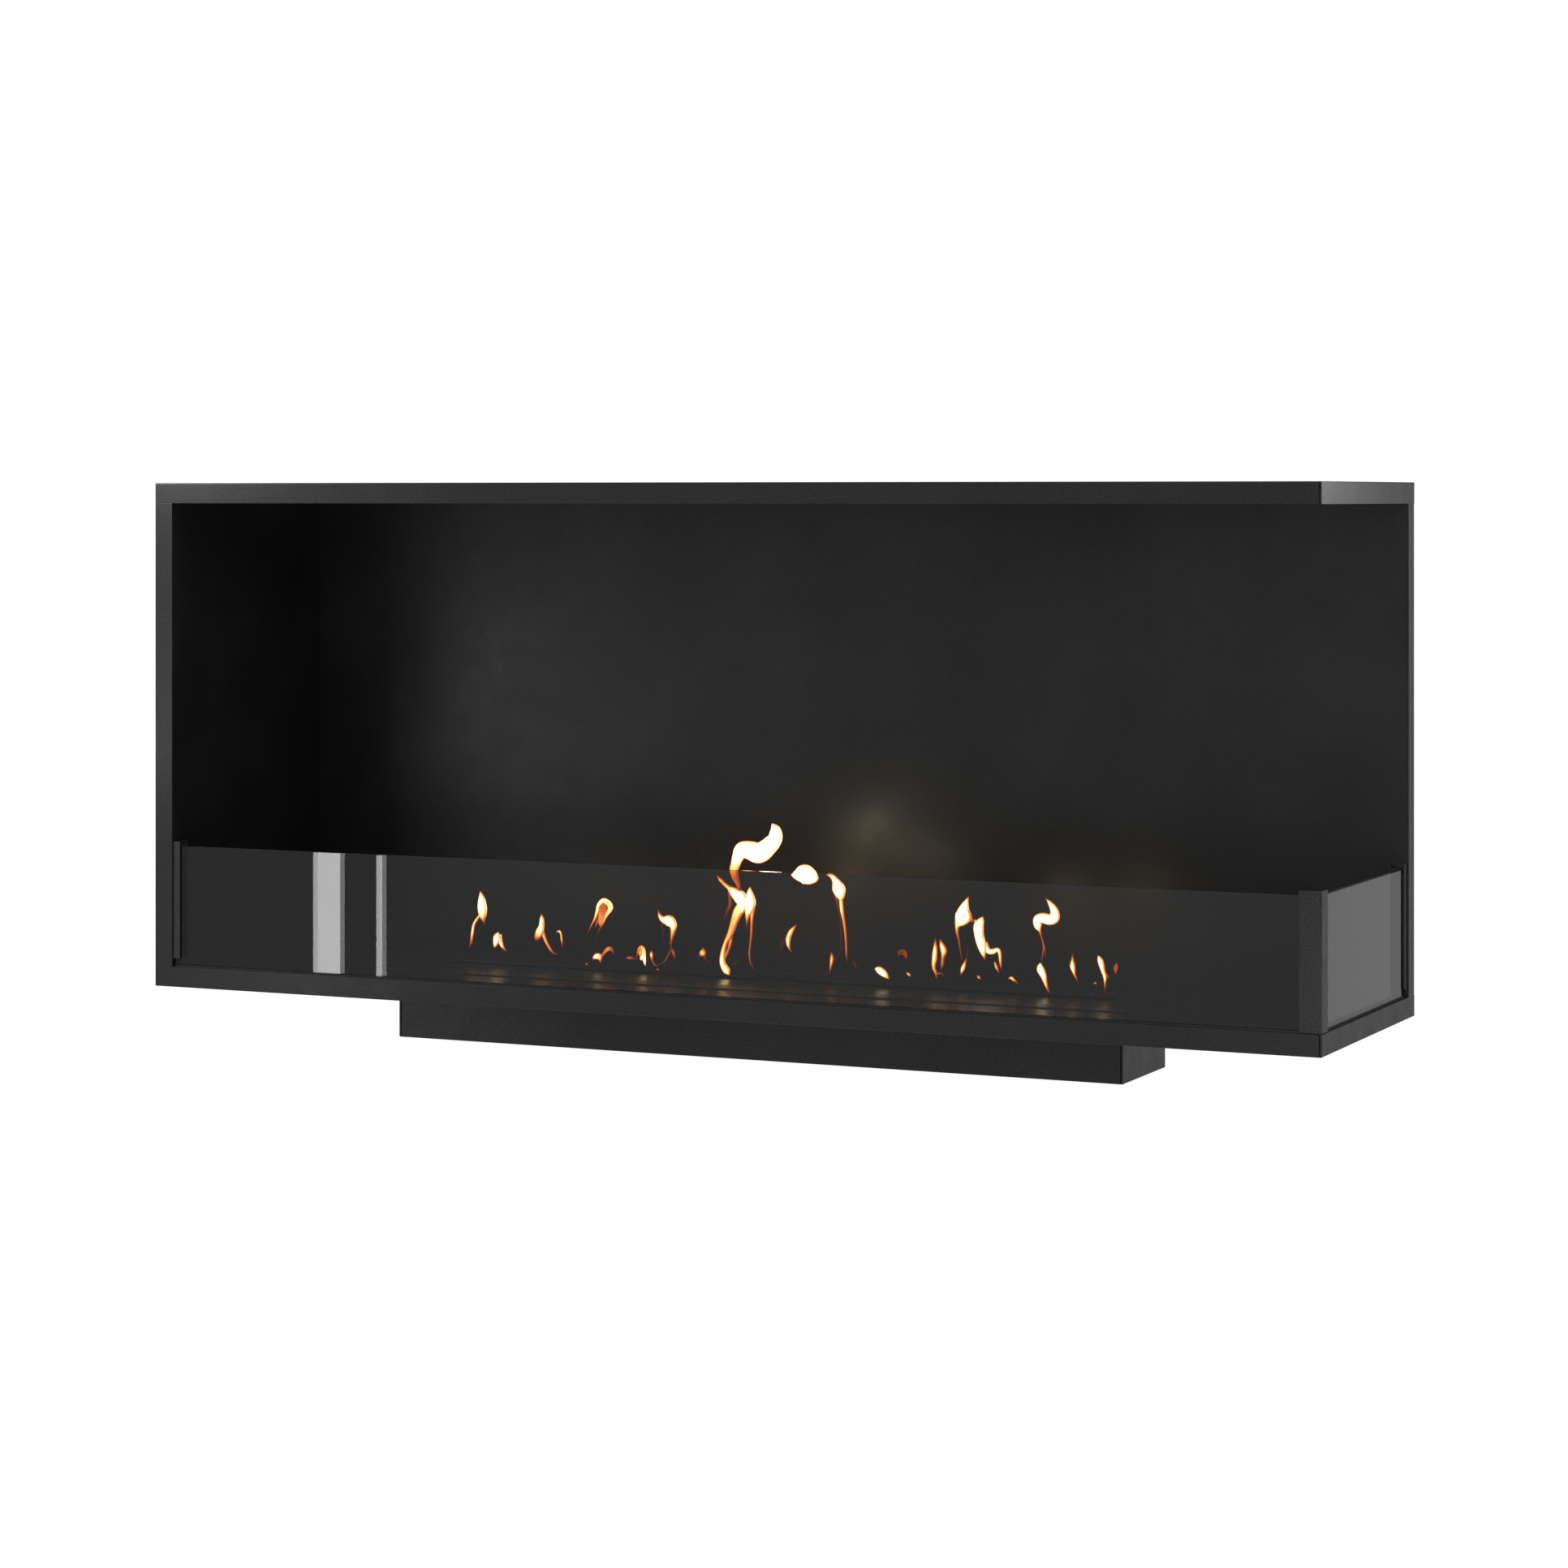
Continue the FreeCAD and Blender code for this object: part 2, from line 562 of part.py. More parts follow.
def floor_rail_beside_tray(index, column):
    """A rail in the floor, left or right of the tray, that runs from front to back."""
    low = f"{column} * floor_rail_reach - floor_rail_width / 2"
    high = f"{column} * floor_rail_reach + floor_rail_width / 2"
    length = (f"{FRONT_IN} + rail_end_gap", f"{BACK_IN} - rail_end_gap")
    name = f"floor_rail_{index}"
    places = [place for place in FLOOR_SCREWS if place[0] == f"{column} * floor_rail_reach"]
    return spacer(
        name,
        ((low, high), length, (BASE_IN, FLOOR_UNDER)),
        ((f"{low} + rail_skin", f"{high} - rail_skin"), length, (f"{BASE_IN} + rail_skin", FLOOR_UNDER)),
        shank_holes(name, OUTWARD["bottom"], places, depth="2 * rail_skin"),
    )


def floor_rail_along_tray(index, side):
    """A rail in the floor, in front of or behind the tray, that runs along it."""
    low = f"{side} * floor_rail_y - floor_rail_width / 2"
    high = f"{side} * floor_rail_y + floor_rail_width / 2"
    length = (TRAY_LEFT, TRAY_RIGHT)
    name = f"floor_long_rail_{index}"
    places = [place for place in FLOOR_SCREWS if place[1] == f"{side} * floor_rail_y"]
    return spacer(
        name,
        (length, (low, high), (BASE_IN, FLOOR_UNDER)),
        (length, (f"{low} + rail_skin", f"{high} - rail_skin"), (f"{BASE_IN} + rail_skin", FLOOR_UNDER)),
        shank_holes(name, OUTWARD["bottom"], places, depth="2 * rail_skin"),
    )


def bays(centres, half_width, low_end, high_end):
    """The spans between rails, each a pair of expressions a little clear of what bounds it."""
    edges = [low_end]
    for centre in centres:
        edges += [f"{centre} - {half_width}", f"{centre} + {half_width}"]
    edges.append(high_end)
    return [(f"{low} + rail_end_gap", f"{high} - rail_end_gap") for low, high in zip(edges[::2], edges[1::2])]


def back_insulation():
    """Boards against the back liner, clear of the rear channel's screws and the wall fixing nuts."""
    centres = [f"{column} * rail_pitch" for column in THIRDS]
    right_end = f"({RIGHT_IN} - wall)"
    height = (f"{FLOOR} + rail_end_gap", f"{CEILING} - rail_end_gap")
    boards = []
    for index, bay in enumerate(bays(centres, "rail_width / 2", ROOM_LEFT, right_end)):
        board = slab(f"back_board_{index}", bay, (LINER_BACK, f"{LINER_BACK} + board_thick"), height)
        if index in (0, len(centres)):
            side = PAIR[0] if index == 0 else PAIR[1]
            places = [place for place in NUT_PLACES if place[0] == f"{side} * nut_pitch_x / 2"]
            holes = shank_holes(f"back_board_{index}", OUTWARD["back"], places, "nut_collar_radius", "wall")
            board = cut(f"back_board_{index}_pierced", board, holes)
        boards.append(board)
    return group("back_insulation", boards)


def top_insulation():
    """Boards on the ceiling liner, between the rails."""
    centres = [f"{column} * rail_pitch" for column in THIRDS]
    length = (f"{FRONT_IN} + rail_end_gap", f"{BACK_IN} - rail_end_gap")
    up = (CEILING_OVER, f"{CEILING_OVER} + board_thick")
    return group("top_insulation", [
        slab(f"top_board_{index}", bay, length, up)
        for index, bay in enumerate(bays(centres, "rail_width / 2", LEFT_IN, RIGHT_IN))
    ])


def left_insulation():
    """Boards against the left liner, between the rails, clear of the channel's screws."""
    centres = [f"{side} * side_rail_pitch / 2" for side in PAIR]
    height = (f"{FLOOR} + rail_end_gap", f"{CEILING} - rail_end_gap")
    across = (f"{LINER_LEFT} - board_thick", LINER_LEFT)
    front_end = f"({FRONT_IN} + wall)"
    return group("left_insulation", [
        slab(f"left_board_{index}", across, bay, height)
        for index, bay in enumerate(bays(centres, "rail_width / 2", front_end, BACK_IN))
    ])


# Fasteners

def screw_master(name, head_radius, shank_radius, length):
    """A flush screw turned about +Z, its head's underside at zero and a hexagonal socket in its head."""
    body = new_body(name)
    profile = new_sketch(body, f"{name}_profile", "XZ_Plane")
    polygon(profile, [
        ("0", f"-{length}"), (shank_radius, f"-{length}"), (shank_radius, "screw_clear"),
        (head_radius, "screw_clear"), (head_radius, "skin"), ("0", "skin"),
    ])
    turned = body.newObject("PartDesign::Revolution", f"{name}_turned")
    turned.Profile = profile
    turned.ReferenceAxis = (profile, ["V_Axis"])
    turned.Angle = 360
    socket = new_sketch(body, f"{name}_socket", "XY_Plane", "skin")
    corners = [(math.cos(math.pi * turn / 3), math.sin(math.pi * turn / 3)) for turn in range(6)]
    polygon(socket, [(f"{head_radius} * {x:.6f} / 2", f"{head_radius} * {y:.6f} / 2") for x, y in corners])
    pocket(body, socket, "socket_depth")
    return body


def nut_master():
    """A rivet nut about +Z: a tube through the sheet with a collar upset behind it."""
    body = new_body("nut_master")
    profile = new_sketch(body, "nut_profile", "XZ_Plane")
    polygon(profile, [
        ("nut_bore_radius", "-nut_length"), ("nut_barrel_radius", "-nut_length"),
        ("nut_barrel_radius", "-2 * skin"), ("nut_collar_radius", "-skin"), ("nut_collar_radius", "0"),
        ("nut_barrel_radius", "0"), ("nut_barrel_radius", "skin"), ("nut_bore_radius", "skin"),
    ])
    turned = body.newObject("PartDesign::Revolution", "nut_turned")
    turned.Profile = profile
    turned.ReferenceAxis = (profile, ["V_Axis"])
    turned.Angle = 360
    return body


def pan_screw_master():
    """A pan-head screw about +Z, the underside of its head at zero."""
    body = new_body("pan_master")
    profile = new_sketch(body, "pan_profile", "XZ_Plane")
    polygon(profile, [
        ("0", "-small_length"), ("small_shank_radius", "-small_length"), ("small_shank_radius", "0"),
        ("pan_head_radius", "0"), ("pan_head_radius", "pan_head_height / 2"),
        ("pan_crown_radius", "pan_head_height"), ("0", "pan_head_height"),
    ])
    turned = body.newObject("PartDesign::Revolution", "pan_turned")
    turned.Profile = profile
    turned.ReferenceAxis = (profile, ["V_Axis"])
    turned.Angle = 360
    return body


def seat(name, master, holes):
    """One node of identical fasteners: a copy of the master at each hole's placement."""
    doc.recompute()
    copies = []
    for hole in holes:
        copy = master.Shape.copy()
        copy.Placement = hole.Placement
        copies.append(copy)
    feature = doc.addObject("Part::Feature", name)
    feature.Shape = Part.makeCompound(copies)
    feature.Placement = FreeCAD.Placement()
    return feature


def holes_named(*prefixes):
    """The head holes whose names start with any of the prefixes."""
    starts = tuple(f"{prefix}_head_" for prefix in prefixes)
    return [item for item in doc.Objects if item.Name.startswith(starts)]


# Glass and what holds it

POST_SCREWS = [
    (f"{SIDE_GLASS_IN} - angle_gap - angle_leg / 2", f"{FRONT_GLASS_IN} + angle_gap + angle_leg / 2", FLOOR),
    (f"{SIDE_GLASS_IN} + glass_thick / 2", f"{FRONT_GLASS} + glass_thick / 2", FLOOR),
]
SCREW_LEVELS = ("channel_height / 5", "4 * channel_height / 5")
LEFT_CHANNEL_SCREWS = [
    (ROOM_LEFT, f"{FRONT} + channel_setback + channel_depth / 2", f"{CHANNEL_LOW} + {level}")
    for level in SCREW_LEVELS
]
REAR_CHANNEL_SCREWS = [
    (f"{RIGHT} - channel_setback - channel_depth / 2", ROOM_BACK, f"{CHANNEL_LOW} + {level}")
    for level in SCREW_LEVELS
]


def channel(name, outline, screws):
    """A folded U-channel that stands on end, pierced by its flush screws."""
    body = new_body(f"{name}_folded")
    profile = new_sketch(body, f"{name}_profile", "XY_Plane", CHANNEL_LOW)
    polygon(profile, outline)
    pad(body, profile, "channel_height")
    return cut(name, body, screws)


def left_glass_channel():
    """The channel on the left wall, open to the right, that holds the front glass's end."""
    near_side = f"{FRONT} + channel_setback"
    far_side = f"{FRONT} + channel_setback + channel_depth"
    lip = f"{ROOM_LEFT} + channel_lip"
    outline = [
        (ROOM_LEFT, near_side), (lip, near_side), (lip, f"{near_side} + skin"),
        (f"{ROOM_LEFT} + skin", f"{near_side} + skin"), (f"{ROOM_LEFT} + skin", f"{far_side} - skin"),
        (lip, f"{far_side} - skin"), (lip, far_side), (ROOM_LEFT, far_side),
    ]
    holes = head_holes("left_channel", (1, 0, 0), LEFT_CHANNEL_SCREWS, "small_head_radius")
    return channel("left_glass_channel", outline, holes)


def rear_glass_channel():
    """The channel on the back wall, open to the front, that holds the side glass's end."""
    outer_side = f"{RIGHT} - channel_setback"
    inner_side = f"{RIGHT} - channel_setback - channel_depth"
    lip = f"{ROOM_BACK} - channel_lip"
    outline = [
        (outer_side, ROOM_BACK), (inner_side, ROOM_BACK), (inner_side, lip), (f"{inner_side} + skin", lip),
        (f"{inner_side} + skin", f"{ROOM_BACK} - skin"), (f"{outer_side} - skin", f"{ROOM_BACK} - skin"),
        (f"{outer_side} - skin", lip), (outer_side, lip),
    ]
    holes = head_holes("rear_channel", (0, -1, 0), REAR_CHANNEL_SCREWS, "small_head_radius")
    return channel("rear_glass_channel", outline, holes)


def left_channel_gasket():
    """A silicone strip behind the front glass, inside the left channel."""
    return slab(
        "left_channel_gasket",
        (f"{ROOM_LEFT} + 2 * skin", f"{ROOM_LEFT} + channel_lip - skin / 2"),
        (f"{FRONT_GLASS_IN} + gasket_gap", f"{FRONT} + channel_setback + channel_depth - skin"),
        (CHANNEL_LOW, GLASS_TOP),
    )


def rear_channel_gasket():
    """A silicone strip inside the side glass, inside the rear channel."""
    return slab(
        "rear_channel_gasket",
        (f"{RIGHT} - channel_setback - channel_depth + skin", f"{SIDE_GLASS_IN} - gasket_gap"),
        (f"{ROOM_BACK} - channel_lip + skin / 2", f"{ROOM_BACK} - 2 * skin"),
        (CHANNEL_LOW, GLASS_TOP),
    )


def corner_post():
    """The outer corner post: an L of sheet on a foot plate that lies under the glass."""
    body = new_body("corner_post_folded")
    legs = new_sketch(body, "corner_post_legs", "XY_Plane", f"{FLOOR} + post_gap")
    polygon(legs, [
        (f"{RIGHT} - post_width", FRONT), (RIGHT, FRONT), (RIGHT, f"{FRONT} + post_side"),
        (RIGHT_IN, f"{FRONT} + post_side"), (RIGHT_IN, FRONT_IN), (f"{RIGHT} - post_width", FRONT_IN),
    ])
    pad(body, legs, "post_height - post_gap")
    right, front = size("box_width") / 2, -size("box_depth") / 2
    fillet_body(body, "fold_radius", [{"x": right, "y": front}])
    reach_x = f"{SIDE_GLASS_IN} - angle_gap - angle_leg"
    reach_y = f"{FRONT_GLASS_IN} + angle_gap + angle_leg"
    foot = slab("corner_post_foot", (reach_x, RIGHT_IN), (FRONT_IN, reach_y), (FLOOR, LID_TOP))
    whole = fuse("corner_post_welded", [body, foot])
    return cut("corner_post", whole, head_holes("post", OUTWARD["top"], POST_SCREWS, "small_head_radius"))


def inner_corner_angle():
    """The inner angle that stands on the post's foot and backs both panes at the corner."""
    body = new_body("inner_corner_angle")
    outer_x = f"{SIDE_GLASS_IN} - angle_gap"
    outer_y = f"{FRONT_GLASS_IN} + angle_gap"
    legs = new_sketch(body, "inner_angle_legs", "XY_Plane", LID_TOP)
    polygon(legs, [
        (f"{outer_x} - angle_leg", outer_y), (outer_x, outer_y), (outer_x, f"{outer_y} + angle_leg"),
        (f"{outer_x} - skin", f"{outer_y} + angle_leg"), (f"{outer_x} - skin", f"{outer_y} + skin"),
        (f"{outer_x} - angle_leg", f"{outer_y} + skin"),
    ])
    pad(body, legs, "post_height - 2 * skin")
    return body


def pane(name, across, along):
    """A pane of glass with ground arrises."""
    body = new_body(name)
    plan = new_sketch(body, f"{name}_plan", "XY_Plane", GLASS_LOW)
    rectangle(plan, across, along)
    block = pad(body, plan, "glass_height")
    doc.recompute()
    arris = body.newObject("PartDesign::Chamfer", f"{name}_arris")
    arris.Base = (block, [f"Edge{number}" for number in range(1, len(block.Shape.Edges) + 1)])
    arris.setExpression("Size", formula("glass_chamfer"))
    return body


def front_glass():
    """The long pane across the front, from the left channel into the corner post."""
    low = f"{ROOM_LEFT} + skin + glass_end_gap"
    high = f"{SIDE_GLASS} - skin"
    return pane("front_glass", (low, high), (FRONT_GLASS, FRONT_GLASS_IN))


def side_glass():
    """The short pane on the right, from behind the front glass into the rear channel."""
    low = f"{FRONT_GLASS_IN} + skin"
    high = f"{ROOM_BACK} - skin - glass_end_gap"
    return pane("side_glass", (SIDE_GLASS_IN, SIDE_GLASS), (low, high))


def glass_rest_strips():
    """Two silicone strips that the panes stand on, which close the gap under them."""
    front_end = f"{SIDE_GLASS_IN} - angle_gap - angle_leg - strip_gap"
    side_end = f"{FRONT_GLASS_IN} + angle_gap + angle_leg + strip_gap"
    height = (FLOOR, GLASS_LOW)
    along_front = (f"{ROOM_LEFT} + skin", front_end)
    along_side = (side_end, f"{ROOM_BACK} - skin")
    front = slab("front_rest_strip", along_front, (FRONT_GLASS, FRONT_GLASS_IN), height)
    side = slab("side_rest_strip", (SIDE_GLASS_IN, SIDE_GLASS), along_side, height)
    return group("glass_rest_strips", [front, side])


# Burner tray

TRAY_SCREWS = [
    (end, f"tray_y + {side} * bracket_reach", f"{BASE_IN} + bracket_height / 2")
    for end in (f"{TRAY_LEFT} + skin", f"{TRAY_RIGHT} - skin") for side in PAIR
]


def burner_tray():
    """The tray that drops through the floor: four walls and a bottom, with a flange all round."""
    body = new_body("burner_tray_folded")
    plan = new_sketch(body, "tray_plan", "XY_Plane")
    rectangle(plan, (TRAY_LEFT, TRAY_RIGHT), (TRAY_FRONT, TRAY_BACK))
    pad(body, plan, LID_TOP)
    rim = new_sketch(body, "tray_rim", "XY_Plane", FLOOR)
    rectangle(
        rim,
        (f"{TRAY_LEFT} - tray_flange", f"{TRAY_RIGHT} + tray_flange"),
        (f"{TRAY_FRONT} - tray_flange", f"{TRAY_BACK} + tray_flange"),
    )
    pad(body, rim, "skin")
    hollow = new_sketch(body, "tray_hollow", "XY_Plane", LID_TOP)
    rectangle(
        hollow,
        (f"{TRAY_LEFT} + skin", f"{TRAY_RIGHT} - skin"),
        (f"{TRAY_FRONT} + skin", f"{TRAY_BACK} - skin"),
    )
    pocket(body, hollow, f"{LID_TOP} - skin")
    left, right = size("tray_x") - size("tray_width") / 2, size("tray_x") + size("tray_width") / 2
    front, back = size("tray_y") - size("tray_depth") / 2, size("tray_y") + size("tray_depth") / 2
    fillet_body(body, "fold_radius", [
        {"x": left, "z": 0}, {"x": right, "z": 0}, {"y": front, "z": 0}, {"y": back, "z": 0},
    ])
    ends = {"left": f"{TRAY_LEFT} + skin", "right": f"{TRAY_RIGHT} - skin - corner_seam"}
    walls = {"front": (TRAY_FRONT, f"{TRAY_FRONT} + skin"), "back": (f"{TRAY_BACK} - skin", TRAY_BACK)}
    seams = [
        slab(f"tray_seam_{end}_{side}", (low, f"{low} + corner_seam"), span, ("skin", FLOOR))
        for end, low in ends.items() for side, span in walls.items()
    ]
    screws = []
    for index, place in enumerate(TRAY_SCREWS):
        inward = (1, 0, 0) if index < len(PAIR) else (-1, 0, 0)
        screws += shank_holes(f"tray_wall_{index}", inward, [place], "small_shank_radius", "2 * skin")
    return cut("burner_tray", body, seams + screws)


def tray_brackets():
    """Four angles that tie the tray's ends to the bottom sheet."""
    brackets = []
    for end_index, end in enumerate(PAIR):
        for side_index, side in enumerate(PAIR):
            name = f"tray_bracket_{end_index}_{side_index}"
            wall_face = f"(tray_x + {end} * tray_width / 2)"
            bend = f"({wall_face} + {end} * skin)"
            tip = f"({wall_face} + {end} * (tray_clear + bracket_leg))"
            upright = (wall_face, bend) if end > 0 else (bend, wall_face)
            foot = (bend, tip) if end > 0 else (tip, bend)
            middle = f"tray_y + {side} * bracket_reach"
            width = (f"({middle} - bracket_width / 2)", f"({middle} + bracket_width / 2)")
            legs = [
                slab(f"{name}_upright", upright, width, (BASE_IN, f"{BASE_IN} + bracket_height")),
                slab(f"{name}_foot", foot, width, (BASE_IN, f"{BASE_IN} + skin")),
            ]
            index = end_index * len(PAIR) + side_index
            outward = (-end, 0, 0)
            wall_place = [TRAY_SCREWS[index]]
            holes = shank_holes(f"{name}_wall", outward, wall_place, "small_shank_radius", "4 * skin")
            floor_place = [BRACKET_SCREWS[index]]
            holes += shank_holes(f"{name}_floor", OUTWARD["bottom"], floor_place, depth="2 * skin")
            brackets.append(cut(name, fuse(f"{name}_angle", legs), holes))
    return group("tray_brackets", brackets)


def tray_screws(master):
    """Pan-head screws through the tray's ends into the brackets."""
    seats = []
    for index, place in enumerate(TRAY_SCREWS):
        inward = (1, 0, 0) if index < len(PAIR) else (-1, 0, 0)
        seats.append(rod(f"tray_screw_seat_{index}", inward, place, "small_shank_radius", "skin"))
    return seat("tray_screws", master, seats)


# Burner

def burner_lid():
    """The plate that closes the tray, with the flame slot in it."""
    body = new_body("burner_lid")
    plan = new_sketch(body, "lid_plan", "XY_Plane", FLOOR)
    rectangle(
        plan,
        (f"{TRAY_LEFT} + skin + lid_gap", f"{TRAY_RIGHT} - skin - lid_gap"),
        (f"{TRAY_FRONT} + skin + lid_gap", f"{TRAY_BACK} - skin - lid_gap"),
    )
    pad(body, plan, "skin")
    slot = new_sketch(body, "lid_slot", "XY_Plane", LID_TOP)
    rectangle(slot, ("tray_x - slot_length / 2", "tray_x + slot_length / 2"), (SLOT_FRONT, SLOT_BACK))
    pocket(body, slot, "skin")
    return body


def tank_corners(inset):
    """The tank's four upright corners, moved inwards."""
    half_width = size("tank_width") / 2 - inset
    half_depth = size("tank_depth") / 2 - inset
    return [
        {"x": size("tray_x") + end * half_width, "y": size("tray_y") + side * half_depth}
        for end in PAIR for side in PAIR
    ]


def fuel_tank():
    """The stainless tank that hangs under the lid, open at the top."""
    body = new_body("fuel_tank")
    plan = new_sketch(body, "tank_plan", "XY_Plane", TANK_LOW)
    rectangle(plan, (TANK_LEFT, TANK_RIGHT), (TANK_FRONT, TANK_BACK))
    pad(body, plan, f"{FLOOR} - {TANK_LOW}")
    hollow = new_sketch(body, "tank_hollow", "XY_Plane", FLOOR)
    rectangle(
        hollow,
        (f"{TANK_LEFT} + tank_skin", f"{TANK_RIGHT} - tank_skin"),
        (f"{TANK_FRONT} + tank_skin", f"{TANK_BACK} - tank_skin"),
    )
    pocket(body, hollow, f"{FLOOR} - {TANK_LOW} - tank_skin")
    fillet_body(body, "tank_radius - tank_skin", tank_corners(size("tank_skin")))
    fillet_body(body, "tank_radius", tank_corners(0))
    return body


def tank_lining(name, low, thick):
    """A block that fills the tank's plan, a little clear of its walls and rounded corners."""
    body = new_body(name)
    plan = new_sketch(body, f"{name}_plan", "XY_Plane", low)
    edge = "(tank_skin + fibre_gap)"
    rectangle(
        plan,
        (f"{TANK_LEFT} + {edge}", f"{TANK_RIGHT} - {edge}"),
        (f"{TANK_FRONT} + {edge}", f"{TANK_BACK} - {edge}"),
    )
    pad(body, plan, thick)
    fillet_body(body, f"tank_radius - {edge}", tank_corners(size("tank_skin") + size("fibre_gap")))
    return body


def ceramic_fibre():
    """The fibre block that soaks up the fuel."""
    return tank_lining("ceramic_fibre", f"{TANK_LOW} + tank_skin", "fibre_height")


def fibre_grid():
    """The perforated sheet that holds the fibre down, with rows of holes under the slot."""
    body = tank_lining("fibre_grid", GRID_LOW, "grid_thick")
    holes = new_sketch(body, "grid_holes", "XY_Plane", f"{GRID_LOW} + grid_thick")
    first = "tray_x - slot_length / 2 + grid_pitch / 2"
    for row in THIRDS:
        circle(holes, (first, f"slot_y + {row} * grid_rows_pitch"), "grid_hole_radius")
    first_row = pocket(body, holes, "grid_thick")
    pattern = body.newObject("PartDesign::LinearPattern", "grid_pattern")
    pattern.Originals = [first_row]
    pattern.Direction = (holes, ["H_Axis"])
    pattern.Occurrences = int(size("slot_length") / size("grid_pitch"))
    pattern.setExpression("Length", formula("slot_length - grid_pitch"))
    body.Tip = pattern
    return body


def burner_feet():
    """Six feet between the fuel tank and the tray."""
    feet = []
    for column in THIRDS:
        for side in PAIR:
            place = (f"tray_x + {column} * foot_reach", f"tray_y + {side} * foot_side", "skin")
            feet.append(rod(f"foot_{len(feet)}", (0, 0, 1), place, "foot_radius", "foot_height"))
    return group("burner_feet", feet)


def damper_guides():
    """Two angles in the tank's ends, each with a ledge that the damper's end slides on."""
    guides = []
    depth = (f"{TANK_FRONT} + tank_skin + tank_radius", f"{TANK_BACK} - tank_skin - tank_radius")
    for index, side in enumerate(PAIR):
        if side < 0:
            wall_face = f"({TANK_LEFT} + tank_skin)"
            upright = (wall_face, f"{wall_face} + skin")
            ledge = (f"{wall_face} + skin", f"{wall_face} + guide_width")
        else:
            wall_face = f"({TANK_RIGHT} - tank_skin)"
            upright = (f"{wall_face} - skin", wall_face)
            ledge = (f"{wall_face} - guide_width", f"{wall_face} - skin")
        ledge_low = f"{LEDGE_TOP} - skin"
        guides.append(fuse(f"damper_guide_{index}", [
            slab(f"guide_upright_{index}", upright, depth, (ledge_low, FLOOR)),
            slab(f"guide_ledge_{index}", ledge, depth, (ledge_low, LEDGE_TOP)),
        ]))
    return group("damper_guides", guides)


def tank_bridges():
    """Bars across the tank that carry the middle of the damper."""
    bars = []
    for index, side in enumerate(PAIR):
        middle = f"tray_x + {side} * bridge_reach"
        bars.append(slab(
            f"tank_bridge_{index}",
            (f"{middle} - bridge_width / 2", f"{middle} + bridge_width / 2"),
            (f"{TANK_FRONT} + tank_skin", f"{TANK_BACK} - tank_skin"),
            (f"{LEDGE_TOP} - skin", LEDGE_TOP),
        ))
    return group("tank_bridges", bars)


def damper_plate():
    """The plate that slides forward under the lid to smother the flames, with its pull tab."""
    body = new_body("damper_plate")
    front_edge = f"{TAB_BACK} - skin - damper_overlap"
    plan = new_sketch(body, "damper_plan", "XY_Plane", DAMPER_LOW)
    rectangle(plan, ("tray_x - damper_width / 2", "tray_x + damper_width / 2"),
              (front_edge, f"{front_edge} + damper_depth"))
    pad(body, plan, "skin")
    tab = new_sketch(body, "damper_tab", "XY_Plane", DAMPER_TOP)
    rectangle(tab, ("tray_x - tab_width / 2", "tray_x + tab_width / 2"), (f"{TAB_BACK} - skin", TAB_BACK))
    pad(body, tab, "tab_height")
    hook = new_sketch(body, "damper_hook_hole", "XZ_Plane", f"-({TAB_BACK})")
    circle(hook, ("tray_x", f"{DAMPER_TOP} + tab_height / 2 + skin / 2"), "tab_hole_radius")
    pocket(body, hook, "2 * skin", backwards=True)
    return body


# Assembly

NODES = [
    top_outer_panel(),
    bottom_outer_panel(),
    left_outer_panel(),
    back_outer_panel(),
    ceiling_liner(),
    floor_liner(),
    left_liner(),
    back_liner(),
    group("back_spacer_rails", [upright_back_rail(index, column) for index, column in enumerate(THIRDS)]),
    group("top_spacer_rails", [top_rail(index, column) for index, column in enumerate(THIRDS)]),
    group("left_spacer_rails", [upright_left_rail(index, side) for index, side in enumerate(PAIR)]),
    group("floor_spacer_rails", [
        maker(index, side)
        for maker in (floor_rail_beside_tray, floor_rail_along_tray) for index, side in enumerate(PAIR)
    ]),
    back_insulation(),
    top_insulation(),
    left_insulation(),
    left_glass_channel(),
    rear_glass_channel(),
    left_channel_gasket(),
    rear_channel_gasket(),
    corner_post(),
    inner_corner_angle(),
    glass_rest_strips(),
    front_glass(),
    side_glass(),
    burner_tray(),
    tray_brackets(),
    tray_screws(pan_screw_master()),
    burner_lid(),
    fuel_tank(),
    ceramic_fibre(),
    fibre_grid(),
    burner_feet(),
    damper_guides(),
    tank_bridges(),
    damper_plate(),
]

casing_screw = screw_master("casing_screw", "screw_head_radius", "screw_shank_radius", "screw_length")
small_screw = screw_master("small_screw", "small_head_radius", "small_shank_radius", "small_length")
NODES += [
    seat("casing_screws", casing_screw, holes_named("back", "top", "left", "bottom")),
    seat("channel_screws", small_screw, holes_named("left_channel", "rear_channel")),
    seat("post_screws", small_screw, holes_named("post")),
    seat("wall_fixing_nuts", nut_master(), holes_named("back_nut")),
]


def check_and_export():
    """Stop on any failed object or bad shape, then write one STEP file for each node."""
    doc.recompute()
    for item in doc.Objects:
        if "Invalid" in item.State or "Error" in item.State:
            raise SystemExit(f"{item.Name} failed: {item.State}")
    os.makedirs("parts", exist_ok=True)
    for node in NODES:
        node.Label = node.Name
        if node.Shape.isNull() or not node.Shape.isValid():
            raise SystemExit(f"{node.Label} has no valid shape")
        node.Shape.exportStep(f"parts/{node.Label}.step")
        box = node.Shape.BoundBox
        print(
            f"{node.Label:22} {len(node.Shape.Solids):3} solids {node.Shape.Volume / 1000:9.2f} cm3",
            f"x {box.XMin:8.2f} {box.XMax:8.2f} y {box.YMin:8.2f} {box.YMax:8.2f}",
            f"z {box.ZMin:7.2f} {box.ZMax:7.2f}",
        )


check_and_export()
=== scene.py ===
import json
import math

